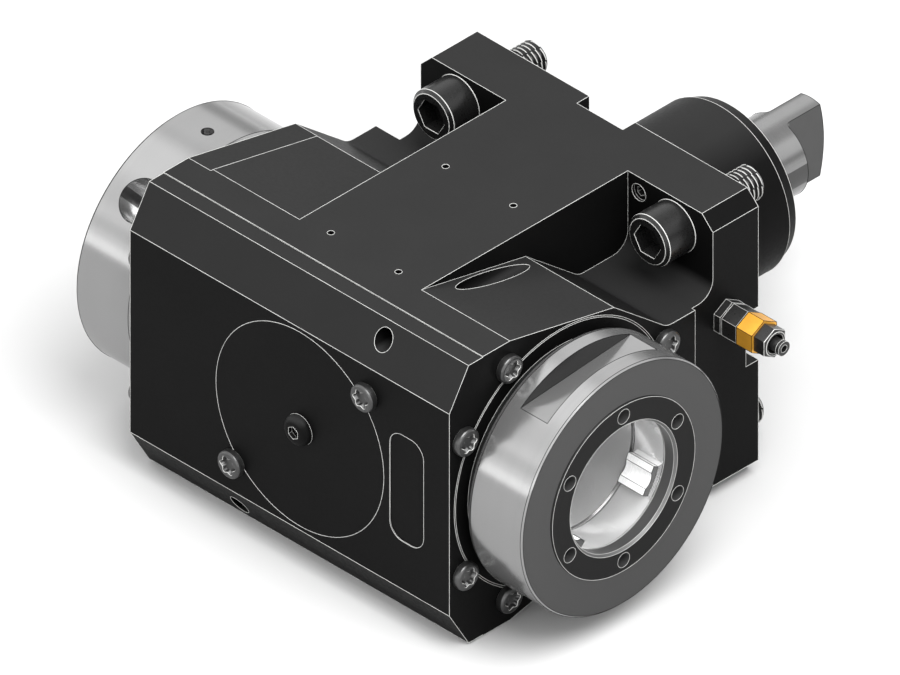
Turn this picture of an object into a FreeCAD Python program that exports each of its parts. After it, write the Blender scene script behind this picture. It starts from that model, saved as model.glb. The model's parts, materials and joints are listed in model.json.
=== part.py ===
"""Radial driven tool holder: a turret-mounted, double-sided angle head with a hollow spindle.

Millimetres and degrees. The origin is the centre of the mounting face, on the axis of the shank.
+Y runs along the shank into the turret, +X along the output spindle, +Z up.
"""
import FreeCAD, Part
import math
import os

import Sketcher

doc = FreeCAD.newDocument("RadialDrivenToolHolder")

# Driving dimensions: name, value, what it is
DRIVING = [
    # Mounting flange
    ("flange_width", 127, "along X"),
    ("flange_thickness", 19.7, "along Y"),
    ("flange_corner", 4.8, "chamfer on the four long edges"),
    ("key_slot_width", 20, "four locating slots in the mounting face"),
    ("key_slot_depth", 5.4, "along Y"),
    ("key_slot_length", 14, "from the flange's edge inwards"),
    ("bolt_edge_x", 16.5, "flange's side to the bolt's axis"),
    ("bolt_edge_z", 10.5, "flange's top or bottom to the bolt's axis"),
    ("bolt_diameter", 12, "thread"),
    ("bolt_shank_diameter", 10.8, "plain shank, thinner than its rolled thread"),
    ("bolt_play", 1, "bolt hole over bolt, on the diameter"),
    ("bolt_head_diameter", 18, "socket head"),
    ("bolt_head_height", 12, "socket head"),
    ("bolt_socket", 10, "across flats"),
    ("bolt_socket_depth", 6, "hexagon socket"),
    ("bolt_reach", 14.3, "thread standing out behind the mounting face"),
    ("adjuster_diameter", 6, "alignment set screw"),
    ("adjuster_length", 17, "alignment set screw"),
    ("adjuster_gap", 4.8, "neck's side to the set screw's axis"),
    ("adjuster_edge", 5.8, "flange's top or bottom to the set screw's axis"),
    ("adjuster_inset", 1, "head of the set screw below the flange's front face"),
    ("adjuster_socket", 3, "across flats"),
    ("access_diameter", 7, "hole through the body to the set screw"),
    # Shank
    ("shank_diameter", 60, "in the turret's bore"),
    ("shank_length", 51.4, "from the mounting face"),
    ("shank_lead", 4.2, "length of the lead-in taper"),
    ("shank_lead_drop", 1.6, "drop in radius over the lead-in"),
    # Waist and neck between flange and body
    ("waist_height", 47.6, "along Z"),
    ("waist_reach", 28.9, "from the mounting face to the back of the body"),
    ("waist_fillet", 6.5, "concave fillet at the flange and at the body"),
    ("neck_width", 53, "along X"),
    # Body
    ("spindle_offset", 87.7, "mounting face to spindle axis"),
    ("body_right", 64.95, "shank axis to the right end face"),
    ("body_left", 73.8, "shank axis to the left end face"),
    ("end_relief", 0.2, "long facets at the left end, below the rest of them"),
    ("end_relief_width", 9.7, "along X"),
    ("facet_one_angle", 12.5, "slope of the long facet behind the top flat"),
    ("facet_two_angle", 39, "slope of the short facet behind it"),
    ("facet_one_wall", 0.55, "long facet outside the cover's seat"),
    ("facet_two_wall", 1.8, "short facet outside the cover's seat"),
    ("top_wall", 6.5, "top flat above the cover's seat"),
    ("front_wall", 2.05, "front face before the cover's seat"),
    ("front_face_height", 76, "along Z"),
    ("bevel_depth", 8.35, "front bevel, along Y"),
    ("strip_width", 6.2, "relieved strip behind the front bevel"),
    ("strip_step", 0.3, "depth of the relieved strip"),
    ("rivet_hole", 2.3, "four small holes in the neck's top"),
    ("rivet_hole_x", 14.7, "from the shank axis"),
    ("rivet_hole_depth", 5, "along Z"),
    ("rivet_hole_near", 57.7, "first pair, from the mounting face"),
    ("rivet_hole_far", 107.6, "second pair, from the mounting face"),
    ("recess_x", 39, "milled recess in the front face, its near side"),
    ("recess_width", 14.8, "along X"),
    ("recess_height", 40, "along Z"),
    ("recess_corner", 5.5, "corner radius"),
    ("recess_depth", 0.3, "along Y"),
    # Front cover
    ("front_cover_edge", 1.5, "front face above the front cover"),
    ("front_cover_thickness", 4, "along Y"),
    ("gasket_thickness", 0.5, "under the front cover"),
    ("front_opening_ledge", 6, "ledge that the gasket lies on"),
    ("front_screw_gap", 3, "screw circle outside the cover's edge"),
    ("front_screw_angle", 43, "above the horizontal"),
    ("plug_diameter", 6, "thread of the plug screw"),
    ("plug_length", 9, "under the head"),
    ("plug_head_diameter", 10.6, "button head"),
    ("plug_head_height", 3, "button head"),
    ("plug_socket", 4, "across flats"),
    # Pan-head screws of the three covers
    ("screw_diameter", 5, "thread"),
    ("screw_length", 10, "in the housing"),
    ("screw_head_diameter", 9.6, "pan head"),
    ("screw_head_height", 2.7, "pan head"),
    ("screw_head_round", 1.6, "rounding of the pan head"),
    ("screw_socket", 4.2, "across the recess"),
    ("screw_socket_depth", 1.8, "recess"),
    # Bearing covers
    ("cover_lip", 2.9, "covers' rims outside the bearing seats"),
    ("cover_edge", 0.6, "chamfer at the mouth of the covers' seats"),
    ("cover_flange", 4, "covers' rims, along X"),
    ("right_spigot", 6, "right cover inside the bearing seat"),
    ("left_spigot", 8.7, "left cover inside the bearing seat"),
    ("cover_screw_gap", 3.6, "screw circle outside the cover's seat"),
    ("cover_angle_low", 31, "first screw, from straight ahead"),
    ("cover_angle_high", 62, "second screw, from straight ahead"),
    ("cover_angle_back", 22, "third screw, from straight back"),
    # Spindle bearings and seals
    ("spindle_bearing_bore", 60, "spindle bearing, bore"),
    ("spindle_bearing_outside", 85, "spindle bearing, outside"),
    ("spindle_bearing_width", 13, "spindle bearing"),
    ("spindle_balls", 14, "balls in each spindle bearing"),
    ("ball_share", 0.6, "ball diameter as a share of the space between bore and outside"),
    ("race_share", 0.45, "height of a race's shoulder as a share of the ball's radius"),
    ("land_wall", 2.5, "seal lands of the spindle's rings, outside the bearing's bore"),
    ("land_gap", 0.5, "covers' bores round the seal lands"),
    ("seal_seat_wall", 2.5, "covers' spigots outside the seals"),
    ("seal_width", 8, "spindle seal"),
    ("seal_wall", 1.6, "section of the seals' walls"),
    # Spindle
    ("arbor_bore", 40, "through the spindle"),
    ("nose_step", 2.8, "nose bore outside the arbor's bore"),
    ("nose_depth", 30, "depth of the nose bore in the spindle"),
    ("nose_edge", 0.5, "chamfer at the mouth of the spindle"),
    ("collar_height", 1, "collar that the gear seats on"),
    ("shoulder_height", 3, "shoulder that the right bearing seats on"),
    ("shoulder_width", 12, "along X"),
    ("gear_back_wall", 10.2, "gear's heel to its back"),
    ("gear_key_width", 8, "key between gear and spindle"),
    ("gear_key_height", 7, "key between gear and spindle"),
    ("gear_key_length", 10, "key between gear and spindle"),
    ("spacer_wall", 4, "sleeve between gear and left bearing"),
    # Rings on the spindle's two ends
    ("ring_diameter", 87.8, "both rings"),
    ("ring_standoff", 3.8, "body to the back of each ring"),
    ("output_ring_length", 23.45, "right ring, outside the body"),
    ("clamp_ring_length", 24.1, "left ring, outside the body"),
    ("ring_band", 1.3, "tapered band at the back of each ring"),
    ("ring_band_drop", 0.5, "drop in radius over the band"),
    ("ring_edge", 0.6, "chamfer at the front of each ring"),
    ("flat_depth", 7.1, "wrench flats below the ring's outside"),
    ("flat_width", 11.6, "wrench flats, along X"),
    ("flat_from_back", 6.05, "back of the ring to the flats"),
    ("flat_lean", 4.75, "flats turned forward from the vertical"),
    ("retaining_rim", 1, "black ring's seat outside the spindle"),
    ("retaining_thickness", 4.7, "along X"),
    ("retaining_proud", 0.5, "black ring before the output ring's face"),
    ("retaining_lip", 0.2, "black ring's bore inside the nose bore"),
    ("retaining_edge", 0.8, "chamfer at the mouth of the black ring"),
    ("face_hole_inset", 3, "hole circle inside the spindle's outside"),
    ("face_hole_diameter", 5.2, "holes in the black ring"),
    ("face_hole_count", 6, "holes in the black ring"),
    ("face_hole_depth", 12.7, "from the black ring's face"),
    ("drive_key_width", 10, "keys in the nose bore"),
    ("drive_key_length", 11, "along X"),
    ("drive_key_inset", 2.3, "end of the spindle to the key"),
    ("drive_key_clear", 0.2, "keys' inner faces outside the arbor's bore"),
    ("drive_key_sink", 3.2, "key seats into the wall of the nose"),
    ("drive_key_count", 3, "keys in the nose bore"),
    ("drive_key_start", -28.6, "first key, from straight back"),
    ("drive_key_step", -104, "from one key to the next"),
    ("key_hollow_radius", 4, "hollow along each key's inner face"),
    ("key_hollow_depth", 1, "hollow along each key's inner face"),
    ("groove_width", 1.3, "narrow groove behind the keys"),
    ("groove_depth", 0.6, "narrow groove behind the keys"),
    ("hook_hole_diameter", 15, "radial hole in the clamp ring"),
    ("hook_hole_from_back", 10.6, "back of the clamp ring to the hole's axis"),
    ("hook_hole_angle", 42, "turned forward from the vertical"),
    ("lock_screw_diameter", 4, "set screw in the clamp ring"),
    ("lock_screw_length", 11, "set screw in the clamp ring"),
    ("lock_screw_socket", 2, "across flats"),
    ("spindle_inset", 2, "end of the spindle inside the clamp ring"),
    # Bevel gears
    ("pinion_teeth", 16, "on the drive shaft"),
    ("gear_teeth", 32, "on the spindle"),
    ("gear_margin", 2.5, "gear's pitch circle inside the bearing seat"),
    ("gear_clearance", 0.4, "gear's teeth to the housing's cavity"),
    ("toe_clearance", 0.9, "pinion's toe to the spindle's collar"),
    ("pressure_angle", 20, "of the teeth"),
    ("backlash", 0.35, "at the pitch circle"),
    ("tooth_root", 0.4, "tooth sunk into its blank"),
    ("gap_overrun", 0.04, "gaps run past both ends of the gear's teeth, as a share of the cone"),
    # Drive shaft
    ("shaft_step", 1, "bearing journals outside the shaft behind them"),
    ("tang_reach", 19.9, "shank's end to the tang"),
    ("tang_thickness", 8.2, "along X"),
    ("tang_length", 14.9, "to the tang's corners"),
    ("tang_crown", 1.8, "rise of the tang's rounded end"),
    ("tang_fillet", 1.8, "at the foot of the tang"),
    ("shaft_bearing_bore", 30, "shaft bearing, bore"),
    ("shaft_bearing_outside", 47, "shaft bearing, outside"),
    ("shaft_bearing_width", 9, "shaft bearing"),
    ("shaft_balls", 10, "balls in each shaft bearing"),
    ("pinion_hub_length", 6.1, "behind the pinion's teeth"),
    ("pinion_bore", 20, "pinion on the shaft's journal"),
    ("pinion_web", 5, "pinion's front face to the back of its web"),
    ("pinion_recess", 16, "diameter of the recess for the pinion's screw"),
    ("pinion_recess_depth", 3.5, "recess for the pinion's screw"),
    ("pinion_key_width", 5, "key between pinion and shaft"),
    ("pinion_key_height", 5, "key between pinion and shaft"),
    ("pinion_key_length", 7, "key between pinion and shaft"),
    ("pinion_screw", 6, "thread of the pinion's screw"),
    ("pinion_screw_head", 10, "head of the pinion's screw"),
    ("pinion_screw_length", 14, "under the head"),
    ("rear_bearing_inset", 21, "shank's end to the rear shaft bearing"),
    ("inner_spacer_wall", 3, "spacer on the shaft"),
    ("outer_spacer_wall", 3, "spacer in the shank"),
    ("circlip_width", 1.7, "retaining ring in the shank"),
    ("circlip_groove", 1.3, "depth of its groove"),
    ("circlip_height", 3.4, "radial section"),
    ("shaft_clip_width", 1.5, "retaining ring on the shaft"),
    ("shaft_clip_groove", 0.7, "depth of its groove"),
    ("shaft_clip_height", 2.8, "radial section"),
    ("shaft_seal_width", 7, "seal in the shank"),
    # Coolant
    ("fitting_y", 14, "mounting face to the fitting's axis"),
    ("fitting_z", 13.7, "shank axis to the fitting's axis"),
    ("fitting_thread", 8, "adapter in the flange"),
    ("fitting_thread_length", 10, "adapter in the flange"),
    ("adapter_across", 10.6, "adapter's hexagon"),
    ("adapter_base", 2.7, "first hexagon of the adapter"),
    ("adapter_groove", 0.7, "groove between its hexagons"),
    ("adapter_length", 9.5, "outside the flange"),
    ("adapter_neck", 7, "neck under the union nut, diameter"),
    ("adapter_neck_length", 3, "neck under the union nut"),
    ("union_gap", 0.4, "between adapter and union nut"),
    ("union_length", 6.7, "union nut"),
    ("union_across", 10.8, "union nut's hexagon"),
    ("lock_nut_length", 1.8, "lock nut's hexagon"),
    ("lock_nut_across", 9.2, "lock nut's hexagon"),
    ("lock_nut_collar", 8.6, "lock nut's slotted collar, diameter"),
    ("lock_nut_collar_length", 3.2, "lock nut's slotted collar"),
    ("collar_slot", 2.4, "slots in the collar"),
    ("nozzle_diameter", 4.5, "nozzle tube"),
    ("nozzle_reach", 3.6, "lock nut to the nozzle's tip"),
    ("nozzle_lip", 0.25, "tip's ring outside the tube"),
    ("nozzle_lip_length", 1.2, "tip's ring"),
    ("nozzle_bore", 2.6, "through adapter and nozzle"),
    ("inlet_gap", 10, "shank to the coolant inlet in the mounting face"),
    ("inlet_diameter", 6, "coolant drillings"),
    ("inlet_ring", 11, "inlet O-ring, middle of its section"),
    ("inlet_section", 1.7, "inlet O-ring, section"),
    # Fits
    ("fit_gap", 0.03, "radial gap of pieces seated in each other"),
    ("run_gap", 0.08, "radial gap of balls and seal lips"),
]

# Places worked out from the driving dimensions, in the holder's own frame
DERIVED = [
    ("cover_radius", "=sizes.spindle_bearing_outside / 2 + sizes.cover_lip"),
    ("seat_mouth", "=cover_radius + sizes.cover_edge"),
    ("top_z", "=seat_mouth + sizes.top_wall"),
    ("floor_z", "=sizes.waist_height / 2"),
    ("front_y", "=-sizes.spindle_offset - seat_mouth - sizes.front_wall"),
    ("bevel_y", "=front_y + sizes.bevel_depth"),
    ("strip_y", "=bevel_y + sizes.strip_width"),
    ("facet_one", "=seat_mouth + sizes.facet_one_wall"),
    ("facet_two", "=seat_mouth + sizes.facet_two_wall"),
    ("flat_end_y", "=-sizes.spindle_offset + (facet_one - top_z * cos(sizes.facet_one_angle))"
                   " / sin(sizes.facet_one_angle)"),
    ("facet_turn", "=sin(sizes.facet_two_angle - sizes.facet_one_angle)"),
    ("meet_y", "=-sizes.spindle_offset + (facet_two * cos(sizes.facet_one_angle)"
               " - facet_one * cos(sizes.facet_two_angle)) / facet_turn"),
    ("meet_z", "=(facet_one * sin(sizes.facet_two_angle)"
               " - facet_two * sin(sizes.facet_one_angle)) / facet_turn"),
    ("floor_y", "=-sizes.spindle_offset + (facet_two - floor_z * cos(sizes.facet_two_angle))"
                " / sin(sizes.facet_two_angle)"),
    ("adjuster_x", "=sizes.neck_width / 2 + sizes.adjuster_gap"),
    ("adjuster_z", "=top_z - sizes.adjuster_edge"),
    ("inlet_x", "=sizes.shank_diameter / 2 + sizes.inlet_gap"),
    ("cover_screw_radius", "=cover_radius + sizes.cover_screw_gap"),
    ("front_cover_radius", "=sizes.front_face_height / 2 - sizes.front_cover_edge"),
    ("front_screw_radius", "=front_cover_radius + sizes.front_screw_gap"),
    # Radii about the spindle
    ("land", "=sizes.spindle_bearing_bore / 2 + sizes.land_wall"),
    ("seal_seat", "=sizes.spindle_bearing_outside / 2 - sizes.seal_seat_wall"),
    ("collar", "=sizes.spindle_bearing_bore / 2 + sizes.collar_height"),
    ("nose", "=sizes.arbor_bore / 2 + sizes.nose_step"),
    ("key_top", "=sizes.arbor_bore / 2 + sizes.drive_key_clear"),
    ("key_seat", "=nose + sizes.drive_key_sink"),
    ("retaining_seat", "=sizes.spindle_bearing_bore / 2 + sizes.retaining_rim"),
    ("retaining_bore", "=nose - sizes.retaining_lip"),
    ("face_circle", "=sizes.spindle_bearing_bore / 2 - sizes.face_hole_inset"),
    # Stations along X
    ("left_race_end", "=-sizes.body_left + sizes.cover_flange + sizes.left_spigot"),
    ("left_race_start", "=left_race_end + sizes.spindle_bearing_width"),
    ("right_race_end", "=sizes.body_right - sizes.cover_flange - sizes.right_spigot"),
    ("right_race_start", "=right_race_end - sizes.spindle_bearing_width"),
    ("output_back", "=sizes.body_right + sizes.ring_standoff"),
    ("output_face", "=output_back + sizes.output_ring_length"),
    ("retaining_face", "=output_face + sizes.retaining_proud"),
    ("spindle_right", "=retaining_face - sizes.retaining_thickness"),
    ("clamp_back", "=-sizes.body_left - sizes.ring_standoff"),
    ("clamp_face", "=clamp_back - sizes.clamp_ring_length"),
    ("spindle_left", "=clamp_face + sizes.spindle_inset"),
    ("key_front", "=spindle_right - sizes.drive_key_inset"),
    ("key_back", "=key_front - sizes.drive_key_length"),
    # Bevel gears, measured from the point where the two axes meet
    ("gear_pitch", "=sizes.spindle_bearing_outside / 2 - sizes.gear_margin"),
    ("module", "=2 * gear_pitch / sizes.gear_teeth"),
    ("pinion_pitch", "=module * sizes.pinion_teeth / 2"),
    ("cone", "=atan(pinion_pitch / gear_pitch)"),
    ("addendum", "=module"),
    ("dedendum", "=1.25 * module"),
    ("toe", "=(collar + sizes.toe_clearance) / (gear_pitch - addendum * sin(cone))"),
    ("gear_tip", "=gear_pitch + addendum * sin(cone)"),
    ("gear_root", "=gear_pitch - dedendum * sin(cone)"),
    ("gear_tip_x", "=pinion_pitch - addendum * cos(cone)"),
    ("gear_root_x", "=pinion_pitch + dedendum * cos(cone)"),
    ("pinion_tip", "=pinion_pitch + addendum * cos(cone)"),
    ("pinion_root", "=pinion_pitch - dedendum * cos(cone)"),
    ("pinion_root_y", "=gear_pitch + dedendum * sin(cone)"),
    ("gear_front", "=toe * gear_root_x"),
    ("gear_back", "=gear_root_x + sizes.gear_back_wall"),
    ("pinion_hub", "=pinion_root_y + sizes.pinion_hub_length"),
    ("cavity", "=gear_tip + sizes.gear_clearance"),
    # Stations along Y
    ("shaft_start", "=-sizes.spindle_offset + toe * pinion_root_y + sizes.pinion_web"),
    ("front_bearing", "=-sizes.spindle_offset + pinion_hub"),
    ("rear_bearing", "=sizes.shank_length - sizes.rear_bearing_inset"),
    ("rear_bearing_end", "=rear_bearing + sizes.shaft_bearing_width"),
    ("circlip_end", "=rear_bearing_end + sizes.circlip_width"),
    ("shaft", "=sizes.shaft_bearing_bore / 2 - sizes.shaft_step"),
    ("tang_start", "=sizes.shank_length + sizes.tang_reach"),
    ("tang_corner", "=tang_start + sizes.tang_length"),
    ("tang_end", "=tang_corner + sizes.tang_crown"),
]

sizes = doc.addObject("Spreadsheet::Sheet", "sizes")
for row, (alias, content, note) in enumerate(DRIVING, start=1):
    sizes.set(f"A{row}", alias)
    sizes.set(f"B{row}", str(content))
    sizes.set(f"C{row}", note)
    sizes.setAlias(f"B{row}", alias)

places = doc.addObject("Spreadsheet::Sheet", "places")
for row, (alias, formula) in enumerate(DERIVED, start=1):
    places.set(f"A{row}", alias)
    places.set(f"B{row}", formula)
    places.setAlias(f"B{row}", alias)
doc.recompute()

NORMALS = {
    "XY_Plane": FreeCAD.Vector(0, 0, 1),
    "XZ_Plane": FreeCAD.Vector(0, -1, 0),
    "YZ_Plane": FreeCAD.Vector(1, 0, 0),
}
SPINDLE_Y = "-sizes.spindle_offset"


# Sketches and features

def number(formula):
    """The present value of a formula."""
    return float(sizes.evalExpression(formula))


def origin_feature(body, role):
    return next(item for item in body.Origin.OriginFeatures if item.Role == role)


def new_body(label, at_spindle=False):
    """A body in the holder's frame, or in the same directions about the spindle's middle."""
    body = doc.addObject("PartDesign::Body", label)
    body.Label = label
    if at_spindle:
        body.setExpression("Placement.Base.y", SPINDLE_Y)
    return body


def turn_about(x, y, z):
    """A placement turned about a direction. The angle is driven afterwards."""
    return FreeCAD.Placement(FreeCAD.Vector(), FreeCAD.Rotation(FreeCAD.Vector(x, y, z), 1))


def new_sketch(body, role, offset=None):
    """A sketch on an origin plane, moved along the plane's normal by the offset."""
    sketch = body.newObject("Sketcher::SketchObject", body.Name + "_sketch")
    sketch.AttachmentSupport = [(origin_feature(body, role), "")]
    sketch.MapMode = "FlatFace"
    if offset is not None:
        sketch.setExpression("AttachmentOffset.Base.z", offset)
    return sketch


def drive(sketch, kind, edge, point, formula):
    """Ties one coordinate of a point, or a radius, to a formula."""
    if kind == "Radius":
        constraint = Sketcher.Constraint(kind, edge, number(formula))
    else:
        constraint = Sketcher.Constraint(kind, -1, 1, edge, point, number(formula))
    index = sketch.addConstraint(constraint)
    sketch.setExpression(f"Constraints[{index}]", formula)


def arc_edge(start, end, radius):
    """The arc from start to end that turns left."""
    half = (end - start) * 0.5
    rise = math.sqrt(max(radius ** 2 - half.Length ** 2, 0))
    left = FreeCAD.Vector(-half.y, half.x, 0).normalize()
    centre = start + half + left * rise
    first = math.atan2(start.y - centre.y, start.x - centre.x)
    last = math.atan2(end.y - centre.y, end.x - centre.x)
    if last < first:
        last += 2 * math.pi
    return Part.ArcOfCircle(Part.Circle(centre, FreeCAD.Vector(0, 0, 1), radius), first, last)


def outline(sketch, corners):
    """A closed outline. A corner with a third value starts an arc of that radius."""
    points = [FreeCAD.Vector(number(corner[0]), number(corner[1]), 0) for corner in corners]
    first = sketch.GeometryCount
    count = len(corners)
    for index, corner in enumerate(corners):
        start = points[index]
        end = points[(index + 1) % count]
        if len(corner) == 3:
            sketch.addGeometry(arc_edge(start, end, number(corner[2])), False)
        else:
            sketch.addGeometry(Part.LineSegment(start, end), False)
    for index in range(count):
        following = first + (index + 1) % count
        sketch.addConstraint(Sketcher.Constraint("Coincident", first + index, 2, following, 1))
    for index, corner in enumerate(corners):
        drive(sketch, "DistanceX", first + index, 1, corner[0])
        drive(sketch, "DistanceY", first + index, 1, corner[1])
        if len(corner) == 3:
            drive(sketch, "Radius", first + index, 0, corner[2])


def rectangle(sketch, left, right, low, high):
    outline(sketch, [(left, low), (right, low), (right, high), (left, high)])


def mirrored(corners):
    """The corners of an upper half, followed by their mirror images below."""
    return corners + [(x, f"-({y})") for x, y in reversed(corners)]


def circle(sketch, x, y, radius):
    centre = FreeCAD.Vector(number(x), number(y), 0)
    edge = sketch.addGeometry(Part.Circle(centre, FreeCAD.Vector(0, 0, 1), number(radius)), False)
    drive(sketch, "DistanceX", edge, 3, x)
    drive(sketch, "DistanceY", edge, 3, y)
    drive(sketch, "Radius", edge, 0, radius)


def circles(sketch, centres, radius):
    for x, y in centres:
        circle(sketch, x, y, radius)


def hexagon(sketch, x, y, across):
    """A hexagon with two corners on the vertical through its centre."""
    corners = []
    for turn in range(30, 390, 60):
        reach = f"({across}) / 2 / cos(30)"
        corners.append((f"{x} + {reach} * cos({turn})", f"{y} + {reach} * sin({turn})"))
    outline(sketch, corners)


def turned_box(sketch, turn, inner, outer, half_width):
    """A rectangle that lies along the direction turned from the sketch's first axis."""
    corners = []
    for reach, side in ((inner, "-1"), (outer, "-1"), (outer, "1"), (inner, "1")):
        along = f"({reach})"
        across = f"{side} * ({half_width})"
        corners.append((f"{along} * cos({turn}) - {across} * sin({turn})",
                        f"{along} * sin({turn}) + {across} * cos({turn})"))
    outline(sketch, corners)


def extrude(body, sketch, length, cut=False, reverse=False, symmetric=False):
    """A pad along the sketch's normal, or a pocket against it, unless reversed."""
    kind = "Pocket" if cut else "Pad"
    feature = body.newObject("PartDesign::" + kind, f"{body.Name}_{kind}")
    feature.Profile = sketch
    feature.setExpression("Length", length)
    feature.Reversed = reverse
    if symmetric:
        feature.SideType = "Symmetric"
    return feature


def revolve(body, sketch, axis, cut=False):
    """A full turn about the sketch's horizontal or vertical axis."""
    kind = "Groove" if cut else "Revolution"
    feature = body.newObject("PartDesign::" + kind, f"{body.Name}_{kind}")
    feature.Profile = sketch
    feature.ReferenceAxis = (sketch, [axis])
    feature.Angle = 360
    return feature


def repeat_round(body, feature, axis, count, angle="360"):
    """Copies a feature round one of the body's own axes."""
    pattern = body.newObject("PartDesign::PolarPattern", body.Name + "_PolarPattern")
    pattern.Originals = [feature]
    pattern.Axis = (origin_feature(body, axis), [""])
    pattern.setExpression("Occurrences", count)
    pattern.setExpression("Angle", angle)
    body.Tip = pattern
    return pattern


def dress(body, kind, size, wanted):
    """Fillets or chamfers the edges that the test picks."""
    doc.recompute()
    base = body.Tip
    picked = [f"Edge{index}" for index, edge in enumerate(base.Shape.Edges, start=1) if wanted(edge)]
    if not picked:
        raise ValueError(f"{body.Label}: no edge to dress")
    feature = body.newObject("PartDesign::" + kind, f"{body.Name}_{kind}")
    feature.Base = (base, picked)
    feature.setExpression("Radius" if kind == "Fillet" else "Size", size)
    return feature


def near(value, formula):
    return abs(value - number(formula)) < 1e-4


def rim(role, station, radius):
    """Picks the circles of a radius that lie at a station along a plane's normal."""
    def wanted(edge):
        curve = edge.Curve
        if not isinstance(curve, Part.Circle):
            return False
        return near(curve.Radius, radius) and near(curve.Center.dot(NORMALS[role]), station)
    return wanted


def edge_along_x(y, z):
    """Picks the straight edges along X at a place, above and below the middle."""
    def wanted(edge):
        ends = [vertex.Point for vertex in edge.Vertexes]
        return len(ends) == 2 and all(near(end.y, y) and near(abs(end.z), z) for end in ends)
    return wanted


def about_axis(axis, corners):
    """Corners given as station and radius, as sketch coordinates for an axis of turning."""
    if axis == "X":
        return corners
    return [(corner[1], corner[0]) + tuple(corner[2:]) for corner in corners]


def turned(label, axis, corners, at_spindle=False):
    """A body turned about X or Y from corners given as station and radius."""
    body = new_body(label, at_spindle)
    profile = new_sketch(body, "XY_Plane")
    outline(profile, about_axis(axis, corners))
    revolve(body, profile, "H_Axis" if axis == "X" else "V_Axis")
    return body


def turned_cut(body, axis, corners, centre_y=None):
    """A turned cut in a body, about its own axis or about one at another place."""
    profile = new_sketch(body, "XY_Plane")
    if centre_y is not None:
        profile.setExpression("AttachmentOffset.Base.y", centre_y)
    outline(profile, about_axis(axis, corners))
    revolve(body, profile, "H_Axis" if axis == "X" else "V_Axis", cut=True)


def ring(label, axis, start, end, inner, outer, at_spindle=False):
    corners = [(start, inner), (end, inner), (end, outer), (start, outer)]
    return turned(label, axis, corners, at_spindle)


def drill(body, role, offset, centres, radius, depth, reverse=False):
    """Round holes, cut against the plane's normal unless reversed."""
    sketch = new_sketch(body, role, offset)
    circles(sketch, centres, radius)
    return extrude(body, sketch, depth, cut=True, reverse=reverse)


def screws(label, role, seat, centres, head, shank, socket, rounding, backwards=False):
    """Screws side by side: head, shank and socket are pairs of width and length."""
    body = new_body(label)
    side = "-1" if backwards else "1"
    heads = new_sketch(body, role, seat)
    circles(heads, centres, f"{head[0]} / 2")
    extrude(body, heads, head[1], reverse=backwards)
    shanks = new_sketch(body, role, seat)
    circles(shanks, centres, f"{shank[0]} / 2")
    extrude(body, shanks, shank[1], reverse=not backwards)
    top = f"{seat} + {side} * {head[1]}"
    dress(body, "Fillet", rounding, rim(role, top, f"{head[0]} / 2"))
    sockets = new_sketch(body, role, top)
    for x, y in centres:
        hexagon(sockets, x, y, socket[0])
    extrude(body, sockets, socket[1], cut=True, reverse=backwards)
    return body


# Where the screws go

def four_corners(x, y):
    return [(f"{a} * ({x})", f"{b} * ({y})") for a, b in ((1, 1), (-1, 1), (-1, -1), (1, -1))]


BOLTS = four_corners("sizes.flange_width / 2 - sizes.bolt_edge_x", "places.top_z - sizes.bolt_edge_z")
ADJUSTERS = [("places.adjuster_x", "places.adjuster_z"), ("-places.adjuster_x", "-places.adjuster_z")]
FRONT_SCREWS = [
    (f"{side} * places.front_screw_radius * cos(sizes.front_screw_angle)",
     f"{side} * places.front_screw_radius * sin(sizes.front_screw_angle)")
    for side in (1, -1)
]
COVER_SCREWS = [
    (f"{SPINDLE_Y} + places.cover_screw_radius * cos({angle})",
     f"{side} * places.cover_screw_radius * sin({angle})")
    for angle in ("180 - sizes.cover_angle_low", "180 - sizes.cover_angle_high", "sizes.cover_angle_back")
    for side in (1, -1)
]
FITTING = ("-sizes.fitting_y", "sizes.fitting_z")
INLET = [("places.inlet_x", "sizes.fitting_z")]


# Housing and its covers

def body_outline(sketch):
    """The faceted section of the body, seen along the spindle."""
    relieved = "places.top_z - sizes.strip_step"
    outline(sketch, mirrored([
        ("places.front_y", "sizes.front_face_height / 2"),
        ("places.bevel_y", relieved),
        ("places.strip_y", relieved),
        ("places.strip_y", "places.top_z"),
        ("places.flat_end_y", "places.top_z"),
        ("places.meet_y", "places.meet_z"),
        ("places.floor_y", "places.floor_z"),
        ("-sizes.waist_reach", "places.floor_z"),
    ]))


def housing_solid(body):
    """Flange, waist, neck, faceted body and shank. Flange, neck and body are equally high."""
    flange = new_sketch(body, "XZ_Plane")
    half_width = "sizes.flange_width / 2"
    half_height = "places.top_z"
    corner = "sizes.flange_corner"
    outline(flange, mirrored([
        (f"-{half_width}", f"{half_height} - {corner}"),
        (f"-{half_width} + {corner}", half_height),
        (f"{half_width} - {corner}", half_height),
        (half_width, f"{half_height} - {corner}"),
    ]))
    extrude(body, flange, "sizes.flange_thickness")
    waist = new_sketch(body, "XZ_Plane")
    rectangle(waist, f"-{half_width}", half_width, "-places.floor_z", "places.floor_z")
    extrude(body, waist, "sizes.waist_reach")
    neck = new_sketch(body, "XZ_Plane")
    rectangle(neck, "-sizes.neck_width / 2", "sizes.neck_width / 2", "-places.top_z", "places.top_z")
    extrude(body, neck, "-places.flat_end_y")
    section = new_sketch(body, "YZ_Plane", "-sizes.body_left")
    body_outline(section)
    extrude(body, section, "sizes.body_left + sizes.body_right")
    shank = new_sketch(body, "XY_Plane")
    outline(shank, about_axis("Y", [
        ("-sizes.flange_thickness", "0"),
        ("-sizes.flange_thickness", "sizes.shank_diameter / 2"),
        ("sizes.shank_length - sizes.shank_lead", "sizes.shank_diameter / 2"),
        ("sizes.shank_length", "sizes.shank_diameter / 2 - sizes.shank_lead_drop"),
        ("sizes.shank_length", "0"),
    ]))
    revolve(body, shank, "V_Axis")


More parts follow.
